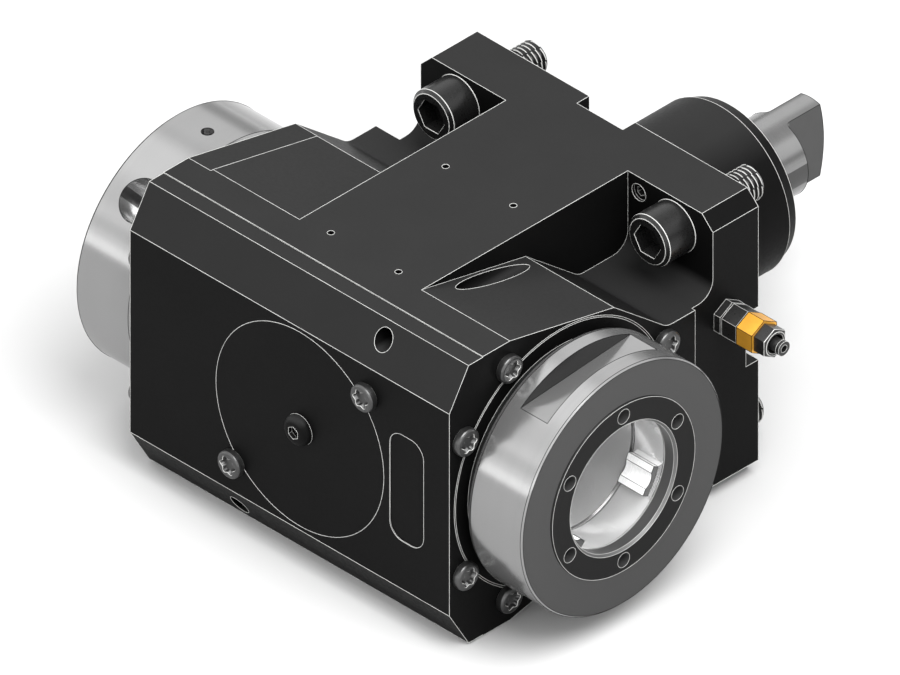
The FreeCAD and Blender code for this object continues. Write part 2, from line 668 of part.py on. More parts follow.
def housing_bores(body):
    """The spindle's cavity with its bearing seats, and the shaft's stepped bore."""
    seat = "sizes.spindle_bearing_outside / 2"
    left_rim = "-sizes.body_left + sizes.cover_flange"
    right_rim = "sizes.body_right - sizes.cover_flange"
    turned_cut(body, "X", [
        ("-sizes.body_left", "0"),
        ("-sizes.body_left", "places.seat_mouth"),
        ("-sizes.body_left + sizes.cover_edge", "places.cover_radius"),
        (left_rim, "places.cover_radius"),
        (left_rim, seat),
        ("places.left_race_start", seat),
        ("places.left_race_start", "places.cavity"),
        ("places.right_race_start", "places.cavity"),
        ("places.right_race_start", seat),
        (right_rim, seat),
        (right_rim, "places.cover_radius"),
        ("sizes.body_right - sizes.cover_edge", "places.cover_radius"),
        ("sizes.body_right", "places.seat_mouth"),
        ("sizes.body_right", "0"),
    ], centre_y=SPINDLE_Y)
    shaft_seat = "sizes.shaft_bearing_outside / 2"
    shoulder = "places.pinion_tip + sizes.gear_clearance"
    turned_cut(body, "Y", [
        (SPINDLE_Y, "0"),
        (SPINDLE_Y, shoulder),
        ("places.front_bearing", shoulder),
        ("places.front_bearing", shaft_seat),
        ("places.rear_bearing_end", shaft_seat),
        ("places.rear_bearing_end", f"{shaft_seat} + sizes.circlip_groove"),
        ("places.circlip_end", f"{shaft_seat} + sizes.circlip_groove"),
        ("places.circlip_end", shaft_seat),
        ("sizes.shank_length", shaft_seat),
        ("sizes.shank_length", "0"),
    ])


def housing_front(body):
    """Seat of the front cover, opening behind it, milled recess and access holes."""
    front = "-places.front_y"
    centre = [("0", "0")]
    cover_depth = "sizes.front_cover_thickness + sizes.gasket_thickness"
    opening = "places.front_cover_radius - sizes.front_opening_ledge"
    drill(body, "XZ_Plane", front, centre, "places.front_cover_radius", cover_depth)
    drill(body, "XZ_Plane", front, centre, opening, f"{front} - sizes.spindle_offset")
    drill(body, "XZ_Plane", front, FRONT_SCREWS, "sizes.screw_diameter / 2",
          "sizes.screw_length + sizes.screw_diameter / 2")
    drill(body, "XZ_Plane", front, ADJUSTERS, "sizes.access_diameter / 2", f"{front} - sizes.waist_reach")
    recess = new_sketch(body, "XZ_Plane", front)
    left = "sizes.recess_x"
    right = "sizes.recess_x + sizes.recess_width"
    high = "sizes.recess_height / 2"
    radius = "sizes.recess_corner"
    outline(recess, [
        (f"{left} + {radius}", f"-{high}"),
        (f"{right} - {radius}", f"-{high}", radius),
        (right, f"-{high} + {radius}"),
        (right, f"{high} - {radius}", radius),
        (f"{right} - {radius}", high),
        (f"{left} + {radius}", high, radius),
        (left, f"{high} - {radius}"),
        (left, f"-{high} + {radius}", radius),
    ])
    extrude(body, recess, "sizes.recess_depth", cut=True)


def housing_mounting_face(body):
    """Bolt holes, set screw holes, locating slots and the coolant inlet."""
    thickness = "sizes.flange_thickness"
    bolt_hole = "(sizes.bolt_diameter + sizes.bolt_play) / 2"
    drill(body, "XZ_Plane", "0", BOLTS, bolt_hole, thickness, reverse=True)
    drill(body, "XZ_Plane", "0", ADJUSTERS, "sizes.adjuster_diameter / 2 + sizes.fit_gap", thickness,
          reverse=True)
    slots = new_sketch(body, "XZ_Plane")
    for turn, reach in (("0", "sizes.flange_width / 2"), ("90", "places.top_z"),
                        ("180", "sizes.flange_width / 2"), ("270", "places.top_z")):
        turned_box(slots, turn, f"{reach} - sizes.key_slot_length", reach, "sizes.key_slot_width / 2")
    extrude(body, slots, "sizes.key_slot_depth", cut=True, reverse=True)
    bore = "sizes.inlet_diameter / 2"
    drill(body, "XZ_Plane", "0", INLET, bore, "sizes.fitting_y", reverse=True)
    groove = new_sketch(body, "XZ_Plane")
    circles(groove, INLET, "(sizes.inlet_ring - sizes.inlet_section) / 2 - sizes.fit_gap")
    circles(groove, INLET, "(sizes.inlet_ring + sizes.inlet_section) / 2 + sizes.fit_gap")
    extrude(body, groove, "sizes.inlet_section", cut=True, reverse=True)
    side = "sizes.flange_width / 2"
    drill(body, "YZ_Plane", side, [FITTING], bore, f"{side} - places.inlet_x")
    drill(body, "YZ_Plane", side, [FITTING], "sizes.fitting_thread / 2 + sizes.fit_gap",
          "sizes.fitting_thread_length")


def relieve_left_end(body):
    """Lowers the long facets next to the left end face by a shallow step."""
    lowered = "(places.facet_one - sizes.end_relief)"
    top = (f"{SPINDLE_Y} + ({lowered} - places.top_z * cos(sizes.facet_one_angle))"
           " / sin(sizes.facet_one_angle)")
    foot_y = (f"{SPINDLE_Y} + (places.facet_two * cos(sizes.facet_one_angle)"
              f" - {lowered} * cos(sizes.facet_two_angle)) / places.facet_turn")
    foot_z = (f"({lowered} * sin(sizes.facet_two_angle)"
              " - places.facet_two * sin(sizes.facet_one_angle)) / places.facet_turn")
    over_y = "sizes.top_wall * sin(sizes.facet_one_angle)"
    over_z = "sizes.top_wall * cos(sizes.facet_one_angle)"
    for side in ("1", "-1"):
        wedge = new_sketch(body, "YZ_Plane", "-sizes.body_left")
        corners = [
            (top, "places.top_z"),
            (foot_y, foot_z),
            (f"{foot_y} + {over_y}", f"{foot_z} + {over_z}"),
            (f"{top} + {over_y}", f"places.top_z + {over_z}"),
        ]
        outline(wedge, [(y, f"{side} * ({z})") for y, z in corners])
        extrude(body, wedge, "sizes.end_relief_width", cut=True, reverse=True)


def make_housing():
    body = new_body("housing")
    housing_solid(body)
    relieve_left_end(body)
    dress(body, "Fillet", "sizes.waist_fillet", edge_along_x("-sizes.flange_thickness", "places.floor_z"))
    dress(body, "Fillet", "sizes.waist_fillet", edge_along_x("places.floor_y", "places.floor_z"))
    housing_bores(body)
    housing_front(body)
    housing_mounting_face(body)
    depth = "sizes.screw_length + sizes.screw_diameter / 2"
    screw = "sizes.screw_diameter / 2"
    drill(body, "YZ_Plane", "sizes.body_right", COVER_SCREWS, screw, depth)
    drill(body, "YZ_Plane", "-sizes.body_left", COVER_SCREWS, screw, depth, reverse=True)
    rivets = [(f"{side} * sizes.rivet_hole_x", f"-{y}")
              for side in (1, -1) for y in ("sizes.rivet_hole_near", "sizes.rivet_hole_far")]
    drill(body, "XY_Plane", "places.top_z", rivets, "sizes.rivet_hole / 2", "sizes.rivet_hole_depth")


def bearing_cover(label, face, inward, spigot):
    """A cover flush in an end face: rim, spigot against the bearing, and the seal's seat."""
    spigot_radius = "sizes.spindle_bearing_outside / 2 - sizes.fit_gap"
    edge = "places.cover_radius - sizes.fit_gap"
    clear = "places.land + sizes.land_gap"
    rim_end = f"{face} + {inward} * sizes.cover_flange"
    seal_end = f"{face} + {inward} * sizes.seal_width"
    end = f"{face} + {inward} * (sizes.cover_flange + {spigot})"
    turned(label, "X", [
        (face, "places.seal_seat"),
        (face, edge),
        (rim_end, edge),
        (rim_end, spigot_radius),
        (end, spigot_radius),
        (end, clear),
        (seal_end, clear),
        (seal_end, "places.seal_seat"),
    ], at_spindle=True)


def make_covers():
    bearing_cover("right_bearing_cover", "sizes.body_right", "-1", "sizes.right_spigot")
    bearing_cover("left_bearing_cover", "-sizes.body_left", "1", "sizes.left_spigot")
    outside = "places.front_y"
    inside = "places.front_y + sizes.front_cover_thickness"
    radius = "places.front_cover_radius - sizes.fit_gap"
    ring("front_cover", "Y", outside, inside, "sizes.plug_diameter / 2 + sizes.fit_gap", radius)
    ring("front_cover_gasket", "Y", inside, f"{inside} + sizes.gasket_thickness",
         "places.front_cover_radius - sizes.front_opening_ledge", radius)


def make_screws():
    pan_head = ("sizes.screw_head_diameter", "sizes.screw_head_height")
    pan_socket = ("sizes.screw_socket", "sizes.screw_socket_depth")
    pan_round = "sizes.screw_head_round"
    pan_shank = ("sizes.screw_diameter", "sizes.screw_length")
    screws("right_cover_screws", "YZ_Plane", "sizes.body_right", COVER_SCREWS, pan_head, pan_shank,
           pan_socket, pan_round)
    screws("left_cover_screws", "YZ_Plane", "-sizes.body_left", COVER_SCREWS, pan_head, pan_shank,
           pan_socket, pan_round, backwards=True)
    screws("front_cover_screws", "XZ_Plane", "-places.front_y", FRONT_SCREWS, pan_head, pan_shank,
           pan_socket, pan_round)
    screws("centre_plug_screw", "XZ_Plane", "-places.front_y", [("0", "0")],
           ("sizes.plug_head_diameter", "sizes.plug_head_height"),
           ("sizes.plug_diameter", "sizes.plug_length"),
           ("sizes.plug_socket", "sizes.plug_head_height / 2"), "sizes.plug_head_height * 0.8")
    body = screws("mounting_bolts", "XZ_Plane", "sizes.flange_thickness", BOLTS,
                  ("sizes.bolt_head_diameter", "sizes.bolt_head_height"),
                  ("sizes.bolt_shank_diameter", "sizes.flange_thickness"),
                  ("sizes.bolt_socket", "sizes.bolt_socket_depth"), "sizes.bolt_diameter / 12")
    threads = new_sketch(body, "XZ_Plane")
    circles(threads, BOLTS, "sizes.bolt_diameter / 2")
    extrude(body, threads, "sizes.bolt_reach", reverse=True)


def make_alignment_screws():
    body = new_body("alignment_set_screws")
    head = "sizes.flange_thickness - sizes.adjuster_inset"
    rods = new_sketch(body, "XZ_Plane", head)
    circles(rods, ADJUSTERS, "sizes.adjuster_diameter / 2")
    extrude(body, rods, "sizes.adjuster_length", reverse=True)
    sockets = new_sketch(body, "XZ_Plane", head)
    for x, z in ADJUSTERS:
        hexagon(sockets, x, z, "sizes.adjuster_socket")
    extrude(body, sockets, "sizes.adjuster_socket", cut=True)


# Bearings and seals

def ball_bearing(prefix, axis, start, bore, outside, width, count):
    """Inner race, outer race and balls. The bearing runs on from its start along the axis."""
    at_spindle = axis == "X"
    end = f"({start}) + {width}"
    middle = f"({start}) + {width} / 2"
    pitch = f"({bore} + {outside}) / 4"
    ball = f"({outside} - {bore}) * sizes.ball_share / 4"
    gap = f"{ball} * (1 - sizes.race_share)"
    inner = ring(f"{prefix}_inner_race", axis, start, end, f"{bore} / 2 + sizes.fit_gap",
                 f"{pitch} - {gap}", at_spindle)
    outer = ring(f"{prefix}_outer_race", axis, start, end, f"{pitch} + {gap}",
                 f"{outside} / 2 - sizes.fit_gap", at_spindle)
    for race in (inner, outer):
        groove = new_sketch(race, "XY_Plane")
        x, y = about_axis(axis, [(middle, pitch)])[0]
        circle(groove, x, y, f"{ball} + sizes.run_gap")
        revolve(race, groove, "H_Axis" if axis == "X" else "V_Axis", cut=True)
    balls = new_body(f"{prefix}_balls", at_spindle)
    sphere = balls.newObject("PartDesign::AdditiveSphere", f"{balls.Name}_sphere")
    sphere.AttachmentSupport = [(origin_feature(balls, "XY_Plane"), "")]
    sphere.MapMode = "FlatFace"
    sphere.setExpression("Radius", ball)
    sphere.setExpression("AttachmentOffset.Base.x", x)
    sphere.setExpression("AttachmentOffset.Base.y", y)
    repeat_round(balls, sphere, f"{axis}_Axis", count)


def lip_seal(label, axis, outside_face, inward, land, seat, width, at_spindle=False):
    """A shaft seal between two radii: outer wall, face and lip, open towards the inside."""
    wall = "sizes.seal_wall"
    lip = f"{land} + sizes.run_gap"
    case = f"{seat} - sizes.fit_gap"

    def station(depth):
        return f"{outside_face} + {inward} * ({depth})"

    turned(label, axis, [
        (station("0"), lip),
        (station("0"), case),
        (station(width), case),
        (station(width), f"{case} - {wall}"),
        (station(wall), f"{case} - {wall}"),
        (station(wall), f"{lip} + {wall}"),
        (station(f"{width} * 0.7"), f"{lip} + {wall}"),
        (station(f"{width} * 0.7"), lip),
    ], at_spindle)


def make_bearings():
    spindle = ("sizes.spindle_bearing_bore", "sizes.spindle_bearing_outside", "sizes.spindle_bearing_width",
               "sizes.spindle_balls")
    shaft = ("sizes.shaft_bearing_bore", "sizes.shaft_bearing_outside", "sizes.shaft_bearing_width",
             "sizes.shaft_balls")
    ball_bearing("right_bearing", "X", "places.right_race_start", *spindle)
    ball_bearing("left_bearing", "X", "places.left_race_end", *spindle)
    ball_bearing("shaft_front_bearing", "Y", "places.front_bearing", *shaft)
    ball_bearing("shaft_rear_bearing", "Y", "places.rear_bearing", *shaft)
    lip_seal("right_spindle_seal", "X", "sizes.body_right", "-1", "places.land", "places.seal_seat",
             "sizes.seal_width", at_spindle=True)
    lip_seal("left_spindle_seal", "X", "-sizes.body_left", "1", "places.land", "places.seal_seat",
             "sizes.seal_width", at_spindle=True)
    lip_seal("shaft_seal", "Y", "(places.circlip_end + sizes.shaft_seal_width)", "-1", "places.shaft",
             "sizes.shaft_bearing_outside / 2", "sizes.shaft_seal_width")


def make_shank_stack():
    """Spacers between the shaft bearings and the two retaining rings behind them."""
    front = "places.front_bearing + sizes.shaft_bearing_width"
    back = "places.rear_bearing"
    journal = "sizes.shaft_bearing_bore / 2 + sizes.fit_gap"
    seat = "sizes.shaft_bearing_outside / 2 - sizes.fit_gap"
    ring("shaft_inner_spacer", "Y", front, back, journal, f"{journal} + sizes.inner_spacer_wall")
    ring("shaft_outer_spacer", "Y", front, back, f"{seat} - sizes.outer_spacer_wall", seat)
    groove = "sizes.shaft_bearing_outside / 2 + sizes.circlip_groove - sizes.fit_gap"
    ring("shank_circlip", "Y", "places.rear_bearing_end", "places.circlip_end",
         f"{groove} - sizes.circlip_height", groove)
    root = "places.shaft - sizes.shaft_clip_groove + sizes.fit_gap"
    ring("shaft_circlip", "Y", "places.rear_bearing_end", "places.rear_bearing_end + sizes.shaft_clip_width",
         root, f"{root} + sizes.shaft_clip_height")


# Spindle and what turns with it

def drive_key_turn(index):
    return f"(sizes.drive_key_start + {index} * sizes.drive_key_step)"


def face_holes(body, station, depth):
    """One hole on the face-hole circle, copied round the spindle's axis."""
    hole = drill(body, "YZ_Plane", station, [("0", "places.face_circle")],
                 "sizes.face_hole_diameter / 2", depth)
    repeat_round(body, hole, "X_Axis", "sizes.face_hole_count")


def make_spindle():
    journal = "sizes.spindle_bearing_bore / 2"
    shoulder = f"{journal} + sizes.shoulder_height"
    bore = "sizes.arbor_bore / 2"
    nose = "places.nose"
    nose_floor = "places.spindle_right - sizes.nose_depth"
    body = turned("spindle", "X", [
        ("places.spindle_left", bore),
        ("places.spindle_left", journal),
        ("-places.gear_front", journal),
        ("-places.gear_front", "places.collar"),
        ("places.right_race_start - sizes.shoulder_width", "places.collar"),
        ("places.right_race_start - sizes.shoulder_width", shoulder),
        ("places.right_race_start", shoulder),
        ("places.right_race_start", journal),
        ("places.spindle_right", journal),
        ("places.spindle_right", f"{nose} + sizes.nose_edge"),
        ("places.spindle_right - sizes.nose_edge", nose),
        ("places.key_back", nose),
        ("places.key_back", f"{nose} + sizes.groove_depth"),
        ("places.key_back - sizes.groove_width", f"{nose} + sizes.groove_depth"),
        ("places.key_back - sizes.groove_width", nose),
        (nose_floor, nose),
        (f"{nose_floor} - ({nose} - {bore})", bore),
    ], at_spindle=True)
    seats = new_sketch(body, "YZ_Plane", "places.key_front")
    for index in range(round(number("sizes.drive_key_count"))):
        turned_box(seats, drive_key_turn(index), "places.key_top", "places.key_seat",
                   "sizes.drive_key_width / 2")
    extrude(body, seats, "sizes.drive_key_length", cut=True)
    keyway = new_sketch(body, "XZ_Plane")
    gear_key_outline(keyway, "0", "0")
    extrude(body, keyway, "sizes.gear_key_width", cut=True, symmetric=True)
    face_holes(body, "places.spindle_right", "sizes.face_hole_depth - sizes.retaining_thickness")


def gear_key_outline(sketch, low, high):
    """Side view of the gear's key, lowered and raised by two allowances."""
    bottom = "(sizes.spindle_bearing_bore - sizes.gear_key_height) / 2"
    rectangle(sketch, "-places.gear_back", "-places.gear_back + sizes.gear_key_length",
              f"{bottom} - {low}", f"{bottom} + sizes.gear_key_height + {high}")


def make_gear_key():
    body = new_body("gear_key", at_spindle=True)
    side = new_sketch(body, "XZ_Plane")
    gear_key_outline(side, "0", "0")
    extrude(body, side, "sizes.gear_key_width - 2 * sizes.fit_gap", symmetric=True)


def make_drive_keys():
    """Keys in the nose bore, each with a shallow hollow along its inner face."""
    body = new_body("drive_keys", at_spindle=True)
    blocks = new_sketch(body, "YZ_Plane", "places.key_front")
    hollows = new_sketch(body, "YZ_Plane", "places.key_front")
    middle = "(places.key_top + sizes.key_hollow_depth - sizes.key_hollow_radius)"
    for index in range(round(number("sizes.drive_key_count"))):
        turn = drive_key_turn(index)
        turned_box(blocks, turn, "places.key_top", "places.key_seat - sizes.fit_gap",
                   "sizes.drive_key_width / 2 - sizes.fit_gap")
        circle(hollows, f"{middle} * cos({turn})", f"{middle} * sin({turn})", "sizes.key_hollow_radius")
    extrude(body, blocks, "sizes.drive_key_length", reverse=True)
    extrude(body, hollows, "sizes.drive_key_length", cut=True)


def make_output_ring():
    """The right ring: seal land behind, wrench flats, and a seat for the retaining ring."""
    outside = "sizes.ring_diameter / 2"
    bore = "sizes.spindle_bearing_bore / 2 + sizes.fit_gap"
    land = "places.land"
    seat = "places.retaining_seat"
    body = turned("output_ring", "X", [
        ("places.right_race_end", bore),
        ("places.right_race_end", land),
        ("places.output_back", land),
        ("places.output_back", f"{outside} - sizes.ring_band_drop"),
        ("places.output_back + sizes.ring_band", outside),
        ("places.output_face - sizes.ring_edge", outside),
        ("places.output_face", f"{outside} - sizes.ring_edge"),
        ("places.output_face", seat),
        ("places.spindle_right", seat),
        ("places.spindle_right", bore),
    ], at_spindle=True)
    flats = new_sketch(body, "YZ_Plane", "places.output_back + sizes.flat_from_back + sizes.flat_width")
    for turn in ("(90 + sizes.flat_lean)", "(270 + sizes.flat_lean)"):
        turned_box(flats, turn, f"{outside} - sizes.flat_depth", outside, outside)
    extrude(body, flats, "sizes.flat_width", cut=True)


def make_retaining_ring():
    bore = "places.retaining_bore"
    face = "places.retaining_face"
    body = turned("retaining_ring", "X", [
        ("places.spindle_right", bore),
        ("places.spindle_right", "places.retaining_seat - sizes.fit_gap"),
        (face, "places.retaining_seat - sizes.fit_gap"),
        (face, f"{bore} + sizes.retaining_edge"),
        (f"{face} - sizes.retaining_edge", bore),
    ], at_spindle=True)
    face_holes(body, face, "sizes.retaining_thickness")


def make_clamp_ring():
    """The left ring, with a hook-spanner hole and a set screw that locks it on the spindle."""
    outside = "sizes.ring_diameter / 2"
    bore = "sizes.spindle_bearing_bore / 2 + sizes.fit_gap"
    land = "places.land"
    body = turned("clamp_ring", "X", [
        ("places.left_race_end", bore),
        ("places.left_race_end", land),
        ("places.clamp_back", land),
        ("places.clamp_back", f"{outside} - sizes.ring_band_drop"),
        ("places.clamp_back - sizes.ring_band", outside),
        ("places.clamp_face + sizes.ring_edge", outside),
        ("places.clamp_face", f"{outside} - sizes.ring_edge"),
        ("places.clamp_face", bore),
    ], at_spindle=True)
    station = "places.clamp_back - sizes.hook_hole_from_back"
    hook = new_sketch(body, "XY_Plane")
    hook.AttachmentOffset = turn_about(1, 0, 0)
    hook.setExpression("AttachmentOffset.Rotation.Angle", "sizes.hook_hole_angle")
    circle(hook, station, "0", "sizes.hook_hole_diameter / 2")
    extrude(body, hook, outside, cut=True, reverse=True)
    drill(body, "XY_Plane", "0", [(station, "0")], "sizes.lock_screw_diameter / 2 + sizes.fit_gap", outside,
          reverse=True)
    screw = new_body("clamp_set_screw", at_spindle=True)
    top = f"{bore} + sizes.lock_screw_length"
    rod = new_sketch(screw, "XY_Plane", top)
    circle(rod, station, "0", "sizes.lock_screw_diameter / 2")
    extrude(screw, rod, "sizes.lock_screw_length", reverse=True)
    socket = new_sketch(screw, "XY_Plane", top)
    hexagon(socket, station, "0", "sizes.lock_screw_socket")
    extrude(screw, socket, "sizes.lock_screw_socket", cut=True)


def make_gear_spacer():
    journal = "sizes.spindle_bearing_bore / 2 + sizes.fit_gap"
    ring("gear_spacer", "X", "places.left_race_start", "-places.gear_back", journal,
         f"{journal} + sizes.spacer_wall", at_spindle=True)


# Bevel gears: straight teeth whose flanks all run to the point where the two axes meet

def involute(angle):
    return math.tan(angle) - angle


def tooth_angle(pitch_radius, height):
    """Half the angle of a tooth, at a height over the pitch circle of the unrolled back cone."""
    pressure = math.radians(number("sizes.pressure_angle"))
    thickness = math.pi * number("places.module") / 2 - number("sizes.backlash") / 2
    reach = min(pitch_radius * math.cos(pressure) / (pitch_radius + height), 1)
    return thickness / (2 * pitch_radius) + involute(pressure) - involute(math.acos(reach))


def tooth_points(pitch_radius, heights, half_gap=None):
    """Points of one tooth, or of one gap between teeth, as height and half width."""
    points = []
    for height in heights:
        angle = tooth_angle(pitch_radius, height)
        if half_gap is not None:
            angle = half_gap - angle
        radius = pitch_radius + height
        points.append((radius * math.cos(angle) - pitch_radius, radius * math.sin(angle)))
    return points


def tooth_section(body, points, scale, side):
    """A section square to the line where the pitch cones touch, scaled towards their apex."""
    sketch = new_sketch(body, "XZ_Plane")
    sketch.AttachmentOffset = turn_about(0, 1, 0)
    sketch.setExpression("AttachmentOffset.Rotation.Angle", "places.cone")
    sketch.setExpression("AttachmentOffset.Base.x", f"-places.pinion_pitch * {scale}")
    sketch.setExpression("AttachmentOffset.Base.z", f"-places.gear_pitch * {scale}")
    upper = [(f"{side * height:.6f} * {scale}", f"{half:.6f} * {scale}") for height, half in points]
    outline(sketch, mirrored(upper))
    return sketch


def tooth_loft(body, kind, points, side, overrun="0"):
    heel = tooth_section(body, points, f"(1 + {overrun})", side)
    toe = tooth_section(body, points, f"places.toe * (1 - {overrun})", side)
    loft = body.newObject("PartDesign::" + kind, f"{body.Name}_tooth")
    loft.Profile = heel
    loft.Sections = [toe]
    loft.Ruled = True
    return loft


def make_bevel_gear():
    """The spindle's gear. Its first gap faces the pinion."""
    bore = "sizes.spindle_bearing_bore / 2 + sizes.fit_gap"
    body = turned("bevel_gear", "X", [
        ("-places.gear_front", bore),
        ("-places.gear_front", "places.toe * places.gear_root"),
        ("-places.toe * places.gear_tip_x", "places.toe * places.gear_tip"),
        ("-places.gear_tip_x", "places.gear_tip"),
        ("-places.gear_root_x", "places.gear_root"),
        ("-places.gear_back", "places.gear_root"),
        ("-places.gear_back", bore),
    ], at_spindle=True)
    keyway = new_sketch(body, "XZ_Plane")
    gear_key_outline(keyway, "sizes.fit_gap", "sizes.fit_gap")
    extrude(body, keyway, "sizes.gear_key_width", cut=True, symmetric=True)
    back_cone = number("places.gear_pitch / sin(places.cone)")
    half_gap = math.pi / number("sizes.gear_teeth / sin(places.cone)")
    heights = [-number("places.dedendum"), 0, number("places.addendum * 1.4")]
    points = tooth_points(back_cone, heights, half_gap)
    gap = tooth_loft(body, "SubtractiveLoft", points, 1, "sizes.gap_overrun")
    repeat_round(body, gap, "X_Axis", "sizes.gear_teeth")


def make_bevel_pinion():
    """The shaft's pinion. Its first tooth stands in the gear's first gap."""
    front = "places.toe * places.pinion_root_y"
    journal = "sizes.pinion_bore / 2"
    recess = "sizes.pinion_recess / 2"
    recess_end = f"{front} + sizes.pinion_recess_depth"
    screw_hole = "sizes.pinion_screw / 2 + sizes.fit_gap"
    body = turned("bevel_pinion", "Y", [
        (front, recess),
        (front, "places.toe * places.pinion_root"),
        ("places.pinion_root_y", "places.pinion_root"),
        ("places.pinion_hub", "places.pinion_root"),
        ("places.pinion_hub", journal),
        (f"{front} + sizes.pinion_web", journal),
        (f"{front} + sizes.pinion_web", screw_hole),
        (recess_end, screw_hole),
        (recess_end, recess),
    ], at_spindle=True)
    keyway = new_sketch(body, "YZ_Plane")
    pinion_key_outline(keyway, "places.pinion_hub", "sizes.fit_gap")
    extrude(body, keyway, "sizes.pinion_key_width", cut=True, symmetric=True)
    back_cone = number("places.pinion_pitch / cos(places.cone)")
    dedendum = number("places.dedendum")
    heights = [-dedendum - number("sizes.tooth_root"), -dedendum / 2, 0, number("places.addendum")]
    points = tooth_points(back_cone, heights)
    tooth = tooth_loft(body, "AdditiveLoft", points, -1)
    repeat_round(body, tooth, "Y_Axis", "sizes.pinion_teeth")


def pinion_key_outline(sketch, end, allowance):
    """Side view of the pinion's key, raised by an allowance."""
    bottom = "(sizes.pinion_bore - sizes.pinion_key_height) / 2"
    rectangle(sketch, f"{end} - sizes.pinion_key_length", end, f"{bottom} - {allowance}",
              f"{bottom} + sizes.pinion_key_height + {allowance}")


# Drive shaft

def make_drive_shaft():
    """Journal for the pinion, bearing seats, and a flat tang with a rounded end."""
    pinion_journal = "sizes.pinion_bore / 2 - sizes.fit_gap"
    journal = "sizes.shaft_bearing_bore / 2"
    shaft = "places.shaft"
    clip_root = f"{shaft} - sizes.shaft_clip_groove"
    clip_end = "places.rear_bearing_end + sizes.shaft_clip_width"
    rise = "sizes.tang_crown"
    end_radius = f"(({shaft}) ^ 2 + {rise} ^ 2) / (2 * {rise})"
    body = turned("drive_shaft", "Y", [
        ("places.tang_end", "0"),
        ("places.shaft_start", "0"),
        ("places.shaft_start", pinion_journal),
        ("places.front_bearing", pinion_journal),
        ("places.front_bearing", journal),
        ("places.rear_bearing_end", journal),
        ("places.rear_bearing_end", clip_root),
        (clip_end, clip_root),
        (clip_end, shaft),
        ("places.tang_corner", shaft, end_radius),
    ])
    tapped = "sizes.pinion_screw / 2"
    drill(body, "XZ_Plane", "-places.shaft_start", [("0", "0")], tapped, "sizes.pinion_screw_length")
    keyway = new_sketch(body, "YZ_Plane")
    pinion_key_outline(keyway, "places.front_bearing", "0")
    extrude(body, keyway, "sizes.pinion_key_width", cut=True, symmetric=True)
    flats = new_sketch(body, "XY_Plane")
    half = "sizes.tang_thickness / 2"
    rectangle(flats, half, shaft, "places.tang_start", "places.tang_end")
    rectangle(flats, f"-{shaft}", f"-{half}", "places.tang_start", "places.tang_end")
    extrude(body, flats, f"2 * {shaft}", cut=True, symmetric=True)

    def foot(edge):
        ends = [vertex.Point for vertex in edge.Vertexes]
        return len(ends) == 2 and all(near(end.y, "places.tang_start") and near(abs(end.x), half)
                                      for end in ends)

    dress(body, "Fillet", "sizes.tang_fillet", foot)


def make_pinion_fixings():
    key = new_body("pinion_key")
    side = new_sketch(key, "YZ_Plane")
    pinion_key_outline(side, "places.front_bearing", "0")
    extrude(key, side, "sizes.pinion_key_width - 2 * sizes.fit_gap", symmetric=True)
    seat = "sizes.spindle_offset - places.toe * places.pinion_root_y - sizes.pinion_recess_depth"
    screws("pinion_screw", "XZ_Plane", seat, [("0", "0")],
           ("sizes.pinion_screw_head", "(sizes.pinion_recess_depth - 2 * sizes.run_gap)"),
           ("sizes.pinion_screw", "sizes.pinion_screw_length"),
           ("sizes.pinion_screw_head / 2", "sizes.pinion_recess_depth / 2"), "sizes.pinion_screw / 12")


# Coolant

